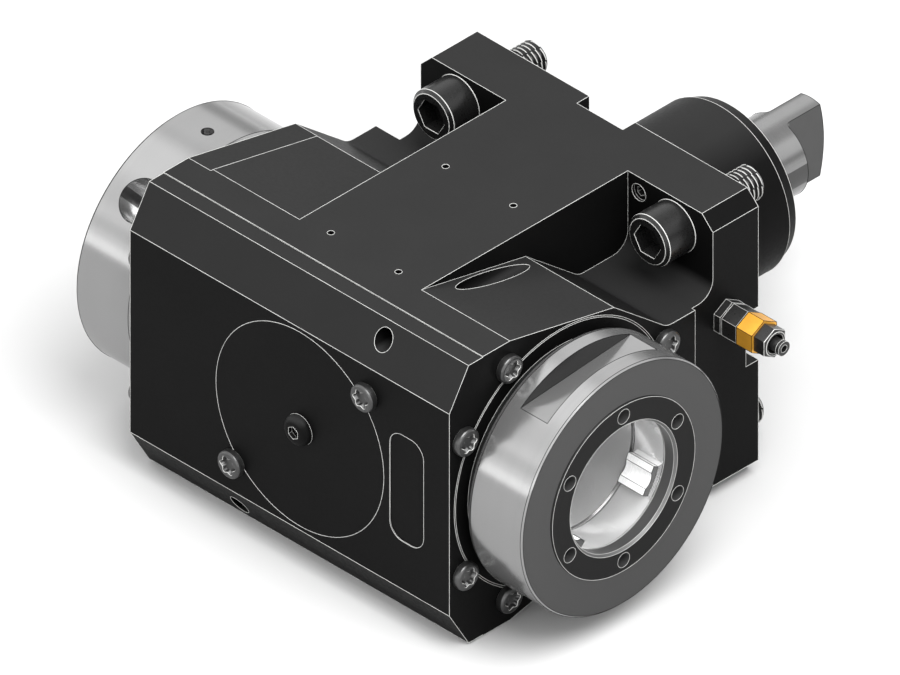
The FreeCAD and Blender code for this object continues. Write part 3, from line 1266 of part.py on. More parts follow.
def make_coolant_fitting():
    """Adapter, union nut, lock nut and nozzle, in line on the flange's right side."""
    side = "sizes.flange_width / 2"
    bore = "sizes.nozzle_bore / 2"
    thread = "sizes.fitting_thread / 2"
    neck = "sizes.adapter_neck / 2"
    y, z = FITTING
    centre = [FITTING]
    adapter = new_body("coolant_adapter")

    def stage(body, start, length, across=None, radius=None):
        sketch = new_sketch(body, "YZ_Plane", start)
        if across:
            hexagon(sketch, y, z, across)
        else:
            circle(sketch, y, z, radius)
        extrude(body, sketch, length)

    stage(adapter, f"{side} - sizes.fitting_thread_length", "sizes.fitting_thread_length", radius=thread)
    stage(adapter, side, "sizes.adapter_base", across="sizes.adapter_across")
    groove_end = f"{side} + sizes.adapter_base + sizes.adapter_groove"
    stage(adapter, f"{side} + sizes.adapter_base", "sizes.adapter_groove",
          radius="sizes.adapter_across / 2.2")
    stage(adapter, groove_end, f"{side} + sizes.adapter_length - ({groove_end})",
          across="sizes.adapter_across")
    union_start = f"({side} + sizes.adapter_length + sizes.union_gap)"
    union_end = f"({union_start} + sizes.union_length)"
    adapter_end = f"({union_start} + sizes.adapter_neck_length)"
    stage(adapter, f"{side} + sizes.adapter_length", "sizes.union_gap + sizes.adapter_neck_length",
          radius=neck)
    drill(adapter, "YZ_Plane", adapter_end, centre, bore,
          f"{adapter_end} - {side} + sizes.fitting_thread_length")

    union = new_body("coolant_union_nut")
    stage(union, union_start, "sizes.union_length", across="sizes.union_across")
    drill(union, "YZ_Plane", union_end, centre, f"{neck} + sizes.fit_gap", "sizes.union_length")

    nut_end = f"({union_end} + sizes.lock_nut_length)"
    collar_end = f"({nut_end} + sizes.lock_nut_collar_length)"
    nut = new_body("coolant_lock_nut")
    stage(nut, union_end, "sizes.lock_nut_length", across="sizes.lock_nut_across")
    stage(nut, nut_end, "sizes.lock_nut_collar_length", radius="sizes.lock_nut_collar / 2")
    tube = "sizes.nozzle_diameter / 2"
    drill(nut, "YZ_Plane", collar_end, centre, f"{tube} + sizes.fit_gap",
          "sizes.lock_nut_length + sizes.lock_nut_collar_length")
    slots = new_sketch(nut, "YZ_Plane", collar_end)
    reach = "sizes.lock_nut_collar / 2"
    half_slot = "sizes.collar_slot / 2"
    rectangle(slots, f"{y} - {reach}", f"{y} + {reach}", f"{z} - {half_slot}", f"{z} + {half_slot}")
    extrude(nut, slots, "sizes.lock_nut_collar_length", cut=True)
    cross = new_sketch(nut, "YZ_Plane", collar_end)
    rectangle(cross, f"{y} - {half_slot}", f"{y} + {half_slot}", f"{z} - {reach}", f"{z} + {reach}")
    extrude(nut, cross, "sizes.lock_nut_collar_length", cut=True)

    nozzle = new_body("coolant_nozzle")
    tip = f"({collar_end} + sizes.nozzle_reach)"
    lip_start = f"({tip} - sizes.nozzle_lip_length)"
    stage(nozzle, adapter_end, f"{union_end} - {adapter_end}", radius=neck)
    stage(nozzle, union_end, f"{lip_start} - {union_end}", radius=tube)
    stage(nozzle, lip_start, "sizes.nozzle_lip_length", radius=f"{tube} + sizes.nozzle_lip")
    drill(nozzle, "YZ_Plane", tip, centre, bore, f"{tip} - {adapter_end}")

    seal = new_body("coolant_inlet_seal")
    torus = new_sketch(seal, "XY_Plane")
    section = "sizes.inlet_section / 2"
    torus.setExpression("AttachmentOffset.Base.x", "places.inlet_x")
    torus.setExpression("AttachmentOffset.Base.z", z)
    circle(torus, "sizes.inlet_ring / 2", f"-{section}", section)
    revolve(seal, torus, "V_Axis")


def write_parts():
    """Stops at the first failed object, then writes one STEP file for each body."""
    doc.recompute()
    for item in doc.Objects:
        if "Invalid" in item.State or "Error" in item.State:
            raise RuntimeError(f"{item.Name} failed: {item.State}")
    bodies = [item for item in doc.Objects if item.TypeId == "PartDesign::Body"]
    for body in bodies:
        if body.Shape.isNull() or not body.Shape.isValid() or body.Shape.Volume <= 0:
            raise RuntimeError(f"{body.Label} has no valid solid")
    os.makedirs("parts", exist_ok=True)
    for body in bodies:
        body.Shape.exportStep(os.path.join("parts", body.Label + ".step"))
        print(f"{body.Label}: {len(body.Shape.Solids)} solid(s), {body.Shape.Volume:.0f} mm3")


make_housing()
make_covers()
make_screws()
make_alignment_screws()
make_bearings()
make_shank_stack()
make_spindle()
make_gear_key()
make_drive_keys()
make_output_ring()
make_retaining_ring()
make_clamp_ring()
make_gear_spacer()
make_bevel_gear()
make_bevel_pinion()
make_drive_shaft()
make_pinion_fixings()
make_coolant_fitting()
write_parts()
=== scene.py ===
"""The looks of the radial driven tool holder. Lengths in metres, +Z up, in the frame of the model."""
import json
import math

import bmesh
import bpy
from mathutils import Matrix, Vector


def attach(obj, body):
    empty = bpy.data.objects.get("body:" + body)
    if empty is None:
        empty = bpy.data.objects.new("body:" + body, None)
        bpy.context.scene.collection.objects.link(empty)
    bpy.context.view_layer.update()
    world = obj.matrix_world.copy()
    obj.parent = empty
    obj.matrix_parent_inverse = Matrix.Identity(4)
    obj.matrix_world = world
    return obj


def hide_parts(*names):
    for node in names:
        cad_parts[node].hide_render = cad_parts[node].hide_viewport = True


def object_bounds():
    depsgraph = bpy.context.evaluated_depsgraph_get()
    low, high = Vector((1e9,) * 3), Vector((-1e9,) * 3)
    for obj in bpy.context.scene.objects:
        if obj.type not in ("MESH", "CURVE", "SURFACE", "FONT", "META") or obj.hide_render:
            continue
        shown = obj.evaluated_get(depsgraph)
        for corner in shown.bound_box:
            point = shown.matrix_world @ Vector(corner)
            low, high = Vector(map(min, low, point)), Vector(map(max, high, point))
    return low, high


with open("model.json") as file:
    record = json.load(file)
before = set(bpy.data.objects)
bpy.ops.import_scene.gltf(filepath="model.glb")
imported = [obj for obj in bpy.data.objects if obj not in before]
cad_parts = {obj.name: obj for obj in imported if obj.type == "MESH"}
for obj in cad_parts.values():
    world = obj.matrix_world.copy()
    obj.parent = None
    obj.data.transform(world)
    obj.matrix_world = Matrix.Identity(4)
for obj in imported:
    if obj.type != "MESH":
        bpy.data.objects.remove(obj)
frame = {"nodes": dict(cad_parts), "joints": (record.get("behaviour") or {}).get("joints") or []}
cad_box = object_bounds()

MM = 0.001
NODES = frame["nodes"]

# Where the axes lie
SPINDLE_Y = next(joint["pos_m"][1] for joint in frame["joints"] if joint["name"] == "spindle_spin")


# Node trees

class Nodes:
    """Short calls for one material's node tree. Coordinates are the piece's own, in metres."""

    def __init__(self, name):
        self.material = bpy.data.materials.new(name)
        self.material.use_nodes = True
        self.tree = self.material.node_tree
        self.shader = self.tree.nodes["Principled BSDF"]

    def add(self, kind, **settings):
        node = self.tree.nodes.new("ShaderNode" + kind)
        for name, value in settings.items():
            setattr(node, name, value)
        return node

    def link(self, source, target):
        self.tree.links.new(source, target)

    def place(self):
        return self.add("TexCoord").outputs["Object"]

    def math(self, operation, first, second=None):
        node = self.add("Math", operation=operation)
        for socket, value in zip(node.inputs, (first, second)):
            if value is None:
                continue
            if isinstance(value, (int, float)):
                socket.default_value = value
            else:
                self.link(value, socket)
        return node.outputs[0]

    def noise(self, scale, detail=3, vector=None):
        node = self.add("TexNoise")
        node.inputs["Scale"].default_value = scale
        node.inputs["Detail"].default_value = detail
        self.link(vector or self.place(), node.inputs["Vector"])
        return node.outputs["Fac"]

    def spread(self, source, low, high, start=0.3, end=0.7):
        """Maps a pattern's middle range to a range of values."""
        node = self.add("MapRange")
        self.link(source, node.inputs["Value"])
        for name, value in zip(("From Min", "From Max", "To Min", "To Max"), (start, end, low, high)):
            node.inputs[name].default_value = value
        return node.outputs[0]

    def colours(self, source, first, last, start=0.3, end=0.7):
        """Maps a pattern's middle range to a range of colours."""
        node = self.add("ValToRGB")
        for stop, place, colour in zip(node.color_ramp.elements, (start, end), (first, last)):
            stop.position = place
            stop.color = (*colour, 1)
        self.link(source, node.inputs[0])
        return node.outputs[0]

    def blend(self, share, first, last):
        """Mixes two colours by a share from 0 to 1."""
        node = self.add("Mix", data_type="RGBA")
        self.link(share, node.inputs["Factor"])
        self.link(first, node.inputs["A"])
        self.link(last, node.inputs["B"])
        return node.outputs["Result"]

    def set(self, **values):
        """Sets values on the shader's own sockets, named with underscores for spaces."""
        for name, value in values.items():
            self.shader.inputs[name.replace("_", " ")].default_value = value

    def bump(self, height, strength, distance):
        node = self.add("Bump")
        node.inputs["Strength"].default_value = strength
        node.inputs["Distance"].default_value = distance
        self.link(height, node.inputs["Height"])
        self.link(node.outputs[0], self.shader.inputs["Normal"])

    def facing(self, axis):
        """How far the surface faces along one of the model's axes, from -1 to 1."""
        parts = self.add("SeparateXYZ")
        self.link(self.add("TexCoord").outputs["Normal"], parts.inputs[0])
        return parts.outputs[axis]

    def around(self, axis, centre_y=0.0):
        """Station along an axis and distance from it, as a vector: the same all along a turning mark."""
        parts = self.add("SeparateXYZ")
        self.link(self.place(), parts.inputs[0])
        x, y, z = parts.outputs
        if axis == "X":
            station, across = x, self.math("SUBTRACT", y, centre_y)
        else:
            station, across = y, x
        square = self.math("ADD", self.math("MULTIPLY", across, across), self.math("MULTIPLY", z, z))
        node = self.add("CombineXYZ")
        self.link(station, node.inputs[0])
        self.link(self.math("SQRT", square), node.inputs[1])
        return node.outputs[0]


# Materials

def grey(value):
    return (value, value, value)


# Painted light: a blackened face is painted a lighter grey as it faces up, as if lit from above. Facing
# forward adds to that and facing right takes away, and the grey starts and is full at these sums.
FORWARD_PAINTED_LIGHT = 0.3
RIGHT_PAINTED_SHADE = 0.35
PAINTED_LIGHT_START = 0.46
PAINTED_LIGHT_FULL = 0.85


def black_oxide(name, side, top, roughness=0.40, specular=0.04):
    """Blackened steel: faintly mottled, with a satin skin, and painted light that makes its colour greyer
    where it faces up.
    """
    made = Nodes(name)
    mottle = made.noise(60, detail=4)
    forward = made.math("MULTIPLY", made.facing("Y"), -FORWARD_PAINTED_LIGHT)
    sideways = made.math("MULTIPLY", made.math("MAXIMUM", made.facing("X"), 0), -RIGHT_PAINTED_SHADE)
    painted_light_facing = made.math("ADD", made.facing("Z"), made.math("ADD", forward, sideways))
    # Painted light: the side colour is the unlit black, the top colour the grey painted on faces that look
    # up
    low = made.colours(mottle, grey(side * 0.85), grey(side))
    high = made.colours(mottle, grey(top * 0.94), grey(top))
    share = made.spread(painted_light_facing, 0, 1, PAINTED_LIGHT_START, PAINTED_LIGHT_FULL)
    made.link(made.blend(share, low, high), made.shader.inputs["Base Color"])
    fine = made.noise(900)
    made.link(made.spread(fine, roughness, roughness + 0.1), made.shader.inputs["Roughness"])
    made.bump(fine, 0.08, 0.02 * MM)
    made.set(Metallic=0.0, Specular_IOR_Level=specular)
    return made.material


def painted_edge_line(name, colour, specular=0.3):
    """A thin painted line along an edge: a painted highlight when pale and painted shade when dark, uneven
    where it is worn.
    """
    made = Nodes(name)
    wear = made.noise(140)
    darker = tuple(part * 0.8 for part in colour)
    made.link(made.colours(wear, darker, colour, 0.35, 0.6), made.shader.inputs["Base Color"])
    made.link(made.spread(wear, 0.55, 0.45), made.shader.inputs["Roughness"])
    made.set(Specular_IOR_Level=specular)
    return made.material


# A face belongs to the flats, and not to the turned side, where it faces this squarely along X
SQUARE_ON = 0.97


def turned_steel(name, axis, centre_y, side, flat, roughness, metallic, flat_metallic=None):
    """Turned and polished steel: faint rings round the axis, and faces square to X painted darker as
    painted shade.
    """
    made = Nodes(name)
    marks = made.around(axis, centre_y)
    rings = made.noise(2600, detail=2, vector=marks)
    broad = made.noise(300, detail=2, vector=marks)
    turned = made.colours(broad, grey(side * 0.97), grey(side))
    # Painted shade: faces square to X take the darker flat colour
    painted_shade_colour = made.colours(broad, grey(flat * 0.94), grey(flat))
    square = made.math("GREATER_THAN", made.math("ABSOLUTE", made.facing("X")), SQUARE_ON)
    made.link(made.blend(square, turned, painted_shade_colour), made.shader.inputs["Base Color"])
    made.link(made.spread(rings, roughness, roughness + 0.04), made.shader.inputs["Roughness"])
    made.bump(rings, 0.03, 0.01 * MM)
    made.set(Metallic=metallic, Specular_IOR_Level=0.1)
    if flat_metallic is not None:
        made.link(made.spread(square, metallic, flat_metallic), made.shader.inputs["Metallic"])
    return made.material


def machined(name, colour, roughness, metallic=1.0):
    """Small machined pieces: a little grain and uneven gloss."""
    made = Nodes(name)
    grain = made.noise(1500)
    broad = made.noise(250, detail=2)
    darker = tuple(part * 0.85 for part in colour)
    made.link(made.colours(broad, darker, colour), made.shader.inputs["Base Color"])
    made.link(made.spread(grain, roughness, roughness + 0.12), made.shader.inputs["Roughness"])
    made.bump(grain, 0.1, 0.01 * MM)
    made.set(Metallic=metallic)
    return made.material


def rubber(name, value):
    """Matt and finely grained."""
    made = Nodes(name)
    grain = made.noise(1200, detail=2)
    made.link(made.colours(grain, grey(value * 0.8), grey(value)), made.shader.inputs["Base Color"])
    made.bump(grain, 0.15, 0.02 * MM)
    made.set(Roughness=0.7)
    return made.material


# side is the black of faces that look sideways, top the lighter grey painted on faces that look up as
# painted light
BLACK = black_oxide("black_oxide", side=0.0027, top=0.0145)
BLACK_FINE = black_oxide("black_oxide_fine", side=0.003, top=0.015)
BLACK_GLOSS = black_oxide("black_oxide_gloss", side=0.005, top=0.008, roughness=0.24, specular=0.3)
# Painted highlight and painted shade for the lines along edges
EDGE_HIGHLIGHT_PAINT = painted_edge_line("painted_edge_highlight", (0.40, 0.40, 0.39))
EDGE_SHADE_PAINT = painted_edge_line("painted_edge_shade", grey(0.004), specular=0.05)
# flat is the darker colour painted on faces square to X as shade
RING_STEEL = turned_steel("ring_steel", "X", SPINDLE_Y, side=0.24, flat=0.06, roughness=0.15, metallic=0.75)
# Painted light: the spindle and its keys are a far paler steel than the rings, so the inside of the bore
# looks lit
LIT_BORE_STEEL = turned_steel("lit_bore_steel", "X", SPINDLE_Y, side=0.88, flat=0.22, roughness=0.16, metallic=0.75)
LIT_KEY_STEEL = turned_steel("lit_key_steel", "X", SPINDLE_Y, side=0.9, flat=0.08, roughness=0.25, metallic=0.1)
RETAINER_STEEL = turned_steel("retainer_steel", "X", SPINDLE_Y, side=0.12, flat=0.003, roughness=0.35,
                              metallic=0.8, flat_metallic=0.0)
SHAFT_STEEL = turned_steel("shaft_steel", "Y", 0, side=0.22, flat=0.08, roughness=0.18, metallic=0.85)
INNER_STEEL = machined("inner_steel", grey(0.55), roughness=0.25)
SCREW_STEEL = machined("screw_steel", grey(0.075), roughness=0.28, metallic=0.9)
FITTING_STEEL = machined("fitting_steel", grey(0.025), roughness=0.26, metallic=0.6)
BRASS = machined("brass", (0.62, 0.30, 0.03), roughness=0.30, metallic=0.5)
GASKET = rubber("gasket", 0.05)
SEAL = rubber("seal_rubber", 0.02)


# Finish of the CAD pieces

# Radius of the painted line of light or shade along an edge, and the least turn between two faces that
# makes an edge
LINE = 0.09 * MM
FINE_LINE = 0.07 * MM
LINE_SIDES = 5
EDGE_ANGLE = math.radians(11)
# Corners nearer than this are one, and facets that turn less than this are one face
WELD = 0.0005 * MM
FLATNESS = math.radians(0.3)


def smooth_by_angle(group, source):
    """Smooths curved faces by the turn between their facets, and not by the imported normals.
    Gives back the geometry, and which of its edges are smooth."""
    plain = group.nodes.new("GeometryNodeRemoveAttribute")
    plain.inputs["Name"].default_value = "custom_normal"
    faces = group.nodes.new("GeometryNodeSetShadeSmooth")
    edges = group.nodes.new("GeometryNodeSetShadeSmooth")
    edges.domain = "EDGE"
    angle = group.nodes.new("GeometryNodeInputMeshEdgeAngle")
    smooth = group.nodes.new("FunctionNodeCompare")
    smooth.operation = "LESS_EQUAL"
    smooth.inputs["B"].default_value = EDGE_ANGLE
    group.links.new(source, plain.inputs["Geometry"])
    group.links.new(plain.outputs[0], faces.inputs["Geometry"])
    group.links.new(faces.outputs[0], edges.inputs["Geometry"])
    group.links.new(angle.outputs["Unsigned Angle"], smooth.inputs["A"])
    group.links.new(smooth.outputs[0], edges.inputs["Shade Smooth"])
    return edges.outputs[0], smooth.outputs[0]


def lines_along(group, source, smooth, material, radius):
    """A fine bead of a material along each edge that isn't smooth, painting light or shade along the edge.
    """
    sharp = group.nodes.new("FunctionNodeBooleanMath")
    sharp.operation = "NOT"
    group.links.new(smooth, sharp.inputs[0])
    course = group.nodes.new("GeometryNodeMeshToCurve")
    group.links.new(source, course.inputs["Mesh"])
    group.links.new(sharp.outputs[0], course.inputs["Selection"])
    section = group.nodes.new("GeometryNodeCurvePrimitiveCircle")
    section.inputs["Resolution"].default_value = LINE_SIDES
    section.inputs["Radius"].default_value = radius
    bead = group.nodes.new("GeometryNodeCurveToMesh")
    group.links.new(course.outputs[0], bead.inputs["Curve"])
    group.links.new(section.outputs[0], bead.inputs["Profile Curve"])
    paint = group.nodes.new("GeometryNodeSetMaterial")
    paint.inputs["Material"].default_value = material
    group.links.new(bead.outputs[0], paint.inputs["Geometry"])
    return paint.outputs[0]


def edge_finish(name, material=None, radius=0.0):
    """A node group that smooths curved faces and, if it has a material, draws a painted line of light or
    shade along each edge.
    """
    group = bpy.data.node_groups.new(name, "GeometryNodeTree")
    group.interface.new_socket("Geometry", in_out="INPUT", socket_type="NodeSocketGeometry")
    group.interface.new_socket("Geometry", in_out="OUTPUT", socket_type="NodeSocketGeometry")
    source = group.nodes.new("NodeGroupInput").outputs[0]
    result = group.nodes.new("NodeGroupOutput").inputs[0]
    body, smooth = smooth_by_angle(group, source)
    if material is None:
        group.links.new(body, result)
        return group
    join = group.nodes.new("GeometryNodeJoinGeometry")
    group.links.new(body, join.inputs[0])
    group.links.new(lines_along(group, source, smooth, material, radius), join.inputs[0])
    group.links.new(join.outputs[0], result)
    return group


# The lines are painted edge highlights on the blackened pieces and painted edge shade on the steel
SMOOTH = edge_finish("smooth")
PAINTED_HIGHLIGHT_LINES = edge_finish("painted_highlight_lines", EDGE_HIGHLIGHT_PAINT, LINE)
FINE_PAINTED_HIGHLIGHT_LINES = edge_finish("fine_painted_highlight_lines", EDGE_HIGHLIGHT_PAINT, FINE_LINE)
PAINTED_SHADE_LINES = edge_finish("painted_shade_lines", EDGE_SHADE_PAINT, LINE)


def finish_node(name, material, finish=SMOOTH):
    """Gives a CAD piece its material and its edges."""
    node = NODES[name]
    node.data.materials.clear()
    node.data.materials.append(material)
    weld = node.modifiers.new("joined", "WELD")
    weld.merge_threshold = WELD
    flat = node.modifiers.new("whole_faces", "DECIMATE")
    flat.decimate_type = "DISSOLVE"
    flat.angle_limit = FLATNESS
    node.modifiers.new("edges", "NODES").node_group = finish


def finish_nodes():
    """Gives each CAD piece the finish of its kind."""
    for name in ("housing", "left_bearing_cover", "right_bearing_cover", "front_cover"):
        finish_node(name, BLACK, PAINTED_HIGHLIGHT_LINES)
    for name in ("centre_plug_screw", "alignment_set_screws", "clamp_set_screw"):
        finish_node(name, BLACK_FINE, FINE_PAINTED_HIGHLIGHT_LINES)
    finish_node("retaining_ring", RETAINER_STEEL, FINE_PAINTED_HIGHLIGHT_LINES)
    for name in ("shank_circlip", "shaft_circlip", "pinion_screw"):
        finish_node(name, BLACK_FINE)
    for name in ("output_ring", "clamp_ring"):
        finish_node(name, RING_STEEL, PAINTED_SHADE_LINES)
    finish_node("spindle", LIT_BORE_STEEL, PAINTED_SHADE_LINES)
    finish_node("drive_keys", LIT_KEY_STEEL, PAINTED_SHADE_LINES)
    finish_node("drive_shaft", SHAFT_STEEL, PAINTED_SHADE_LINES)
    finish_node("coolant_union_nut", BRASS, PAINTED_SHADE_LINES)
    for name in ("coolant_adapter", "coolant_nozzle"):
        finish_node(name, FITTING_STEEL, FINE_PAINTED_HIGHLIGHT_LINES)
    for name in ("right_spindle_seal", "left_spindle_seal", "shaft_seal", "coolant_inlet_seal"):
        finish_node(name, SEAL)
    finish_node("front_cover_gasket", GASKET)
    for name in sorted(NODES):
        if not NODES[name].modifiers:
            finish_node(name, INNER_STEEL)


# Screws and a nut, in more detail than the CAD pieces

SEGMENTS = 72
LOBE_DEPTH = 0.16


def islands(name):
    """Lowest and highest corner of each separate solid of a CAD piece."""
    shape = bmesh.new()
    shape.from_mesh(NODES[name].data)
    bmesh.ops.remove_doubles(shape, verts=shape.verts, dist=WELD)
    seen = set()
    boxes = []
    for first in shape.verts:
        if first in seen:
            continue
        seen.add(first)
        found = [first]
        for vertex in found:
            for edge in vertex.link_edges:
                other = edge.other_vert(vertex)
                if other not in seen:
                    seen.add(other)
                    found.append(other)
        spans = list(zip(*(vertex.co for vertex in found)))
        boxes.append([Vector([pick(span) for span in spans]) for pick in (min, max)])
    shape.free()
    return boxes


def seats(name, outward, head):
    """Where the head of each solid sits: a frame whose Z axis points out of the head."""
    outward = Vector(outward)
    turn = outward.to_track_quat("Z", "Y").to_matrix().to_4x4()
    places = []
    for low, high in islands(name):
        middle = (low + high) / 2
        top = max(low.dot(outward), high.dot(outward))
        seat = middle + outward * (top - head - middle.dot(outward))
        places.append(Matrix.Translation(seat) @ turn)
    return places


def round_shape(angle):
    """Radius of a circle, as a share of its radius. The other shapes are given in the same way."""
    return 1.0


def hexagon(angle):
    """Radius of a hexagon, as a share of half its width across flats."""
    return 1 / math.cos(angle % (math.pi / 3) - math.pi / 6)


def upright_hexagon(angle):
    return hexagon(angle + math.pi / 6)


def six_lobes(angle):
    return 1 + LOBE_DEPTH * math.cos(6 * angle)


def ring_points(height, radius, shape=round_shape):
    """One ring of a turned piece, as a distance along the axis and a radius for each angle."""
    angles = (math.tau * step / SEGMENTS for step in range(SEGMENTS))
    return [(height * MM, radius * MM * shape(angle)) for angle in angles]


# What a face is made of: a place in the turned piece's list of materials
BODY, EDGE = range(2)
HIGHLIGHT_BAND_WIDTH = 0.15 * MM
# No broken edge takes more than this share of a face
EDGE_SHARE = 0.4


def between(first, last, distance):
    """A ring some way from one ring towards another."""
    length = max(math.dist(a, b) for a, b in zip(first, last))
    share = min(distance / length, EDGE_SHARE) if length else 0
    return [tuple(a + (b - a) * share for a, b in zip(start, end)) for start, end in zip(first, last)]


def band(ring, kind):
    """A ring and the material of each face that comes down to it."""
    return ring, [kind] * SEGMENTS


def profile(*corners):
    """Rings through a list of corners, given as height, radius and, if it isn't round, shape.
    A corner that ends in "edge" is broken, and the band that breaks it is marked to be painted light as a
    highlight."""
    rings = [ring_points(*(part for part in corner if part != "edge")) for corner in corners]
    bands = []
    for place, (corner, ring) in enumerate(zip(corners, rings)):
        if "edge" in corner:
            bands.append(band(between(ring, rings[place - 1], HIGHLIGHT_BAND_WIDTH), BODY))
            bands.append(band(between(ring, rings[place + 1], HIGHLIGHT_BAND_WIDTH), EDGE))
        else:
            bands.append(band(ring, BODY))
    return bands


# Rings in one pitch of a thread, and the slope of its flanks
THREAD_ROWS = 8
THREAD_FLANK = 2.3


def thread(start, end, crest, root, highlight_radius, pitch):
    """Rings of a screw thread, which climbs by one pitch in a turn and has its crests painted light as a
    highlight.
    """
    rows = round((start - end) / pitch * THREAD_ROWS)
    bands = []
    for row in range(rows + 1):
        height = start + (end - start) * row / rows
        radii = []
        for step in range(SEGMENTS):
            phase = (height / pitch + step / SEGMENTS) % 1
            depth = min(abs(phase - 0.5) * THREAD_FLANK, 1)
            radii.append(crest - (crest - root) * depth)
        ring = [(height * MM, radius * MM) for radius in radii]
        bands.append((ring, [EDGE if radius > highlight_radius else BODY for radius in radii]))
    return bands


def make_turned(name, node, outward, head, material, bands):
    """Builds the same turned piece at the place of each of a CAD node's solids, and replaces the node."""
    shape = bmesh.new()
    for place in seats(node, outward, head * MM):
        rows = []
        for ring, _ in bands:
            row = []
            for step, (height, radius) in enumerate(ring):
                angle = math.tau * step / SEGMENTS
                point = Vector((radius * math.cos(angle), radius * math.sin(angle), height))
                row.append(shape.verts.new(place @ point))
            rows.append(row)
        for upper, lower, (_, kinds) in zip(rows, rows[1:], bands[1:]):
            for step, kind in enumerate(kinds):
                after = (step + 1) % SEGMENTS
                face = shape.faces.new((upper[step], lower[step], lower[after], upper[after]))
                face.material_index = kind
        shape.faces.new(rows[0])
        shape.faces.new(reversed(rows[-1]))
    bmesh.ops.recalc_face_normals(shape, faces=shape.faces)
    mesh = bpy.data.meshes.new(name)
    shape.to_mesh(mesh)
    shape.free()
    mesh.materials.append(material)
    # The second material paints highlights on broken edges and thread crests
    mesh.materials.append(EDGE_HIGHLIGHT_PAINT)
    piece = bpy.data.objects.new(name, mesh)
    bpy.context.scene.collection.objects.link(piece)
    piece.modifiers.new("edges", "NODES").node_group = SMOOTH
    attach(piece, "holder")
    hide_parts(node)


# Mounting bolt, in mm. Heights are above the seat of its head, and less than 0 along the shank
BOLT_HEAD = 12
BOLT_HEAD_RADIUS = 9
BOLT_BEVEL = 1.2
BOLT_BEVEL_LENGTH = 1.1
BOLT_SOCKET_FLOOR = 6
BOLT_SOCKET_RADIUS = 5
BOLT_CONTACT = 0.22
BOLT_CONTACT_RADIUS = 9.14
BOLT_SHANK_RADIUS = 5.4
BOLT_THREAD_START = -19.7
BOLT_THREAD_END = -33.0
BOLT_END = -34.0
BOLT_CREST = 6.0
# Thread faces beyond this radius are painted light as a highlight
BOLT_HIGHLIGHT_RADIUS = 5.88
BOLT_ROOT = 5.1
BOLT_PITCH = 1.75
BOLT_LEAD_RADIUS = 5.5
BOLT_END_RADIUS = 4.6
BOLT_END_MIDDLE = 3


def make_bolts():
    """Socket-head bolts with their threads, and a painted highlight line where the head meets the flange.
    """
    bands = profile((BOLT_SOCKET_FLOOR, BOLT_SOCKET_RADIUS, hexagon),
                    (BOLT_HEAD, BOLT_SOCKET_RADIUS, hexagon, "edge"),
                    (BOLT_HEAD, BOLT_HEAD_RADIUS - BOLT_BEVEL, "edge"),
                    (BOLT_HEAD - BOLT_BEVEL_LENGTH, BOLT_HEAD_RADIUS, "edge"),
                    (BOLT_CONTACT, BOLT_HEAD_RADIUS))
    # A thin band painted light as a highlight where the head meets the flange
    bands.append(band(ring_points(0, BOLT_CONTACT_RADIUS), EDGE))
    bands += profile((0, BOLT_SHANK_RADIUS), (BOLT_THREAD_START, BOLT_SHANK_RADIUS))
    bands += thread(BOLT_THREAD_START, BOLT_THREAD_END, BOLT_CREST, BOLT_ROOT, BOLT_HIGHLIGHT_RADIUS, BOLT_PITCH)
    bands += profile((BOLT_THREAD_END, BOLT_LEAD_RADIUS), (BOLT_END, BOLT_END_RADIUS, "edge"),
                     (BOLT_END, BOLT_END_MIDDLE))
    make_turned("socket_head_bolts", "mounting_bolts", (0, -1, 0), BOLT_HEAD, BLACK_GLOSS,
                bands)


# Cover screw, in mm, with heights above the seat of its head
PAN_HEAD = 2.7
PAN_RADIUS = 4.8
PAN_RECESS = ((1.4, 1.6, six_lobes), (1.5, 2.2, six_lobes))
PAN_RECESS_RADIUS = 2.9
PAN_DOME = ((PAN_HEAD, 3.8), (2.6, 4.2), (2.35, 4.55), (2.0, 4.75), (1.6, PAN_RADIUS))
PAN_SHANK_RADIUS = 2.5
PAN_SHANK_END = -10


def make_pan_screws():
    """Flat pan heads with a wide six-lobe recess."""
    # The broken edges at the rim of the recess and at the seat of the head are painted light as highlights
    bands = profile(*PAN_RECESS, (PAN_HEAD, PAN_RECESS_RADIUS, six_lobes, "edge"), *PAN_DOME,
                    (0, PAN_RADIUS, "edge"), (0, PAN_SHANK_RADIUS), (PAN_SHANK_END, PAN_SHANK_RADIUS))
    for name, node, outward in (("right_pan_screws", "right_cover_screws", (1, 0, 0)),
                                ("left_pan_screws", "left_cover_screws", (-1, 0, 0)),
                                ("front_pan_screws", "front_cover_screws", (0, -1, 0))):
        make_turned(name, node, outward, PAN_HEAD, SCREW_STEEL, bands)


# Coolant lock nut, in mm, with heights above the face of the union nut
NUT_LENGTH = 5
NUT_RADIUS = 4.6
NUT_BEVEL = 0.5
NUT_RECESS_FLOOR = 2.4
NUT_RECESS_RADIUS = 3.3


def make_lock_nut():
    """Hexagon ring of the coolant fitting, with a round recess about the nozzle."""
    # The broken edges of the lock nut are painted light as highlights
    bands = profile((NUT_RECESS_FLOOR, NUT_RECESS_RADIUS), (NUT_LENGTH, NUT_RECESS_RADIUS, "edge"),
                    (NUT_LENGTH, NUT_RADIUS - NUT_BEVEL, "edge"),
                    (NUT_LENGTH - NUT_BEVEL, NUT_RADIUS, upright_hexagon, "edge"),
                    (0, NUT_RADIUS, upright_hexagon))
    make_turned("lock_nut", "coolant_lock_nut", (1, 0, 0), NUT_LENGTH, FITTING_STEEL, bands)


# Stage, light and camera

FLOOR_SIZE = 12.0
FLOOR_GAP = 0.5 * MM
FLOOR_GREY = 0.44


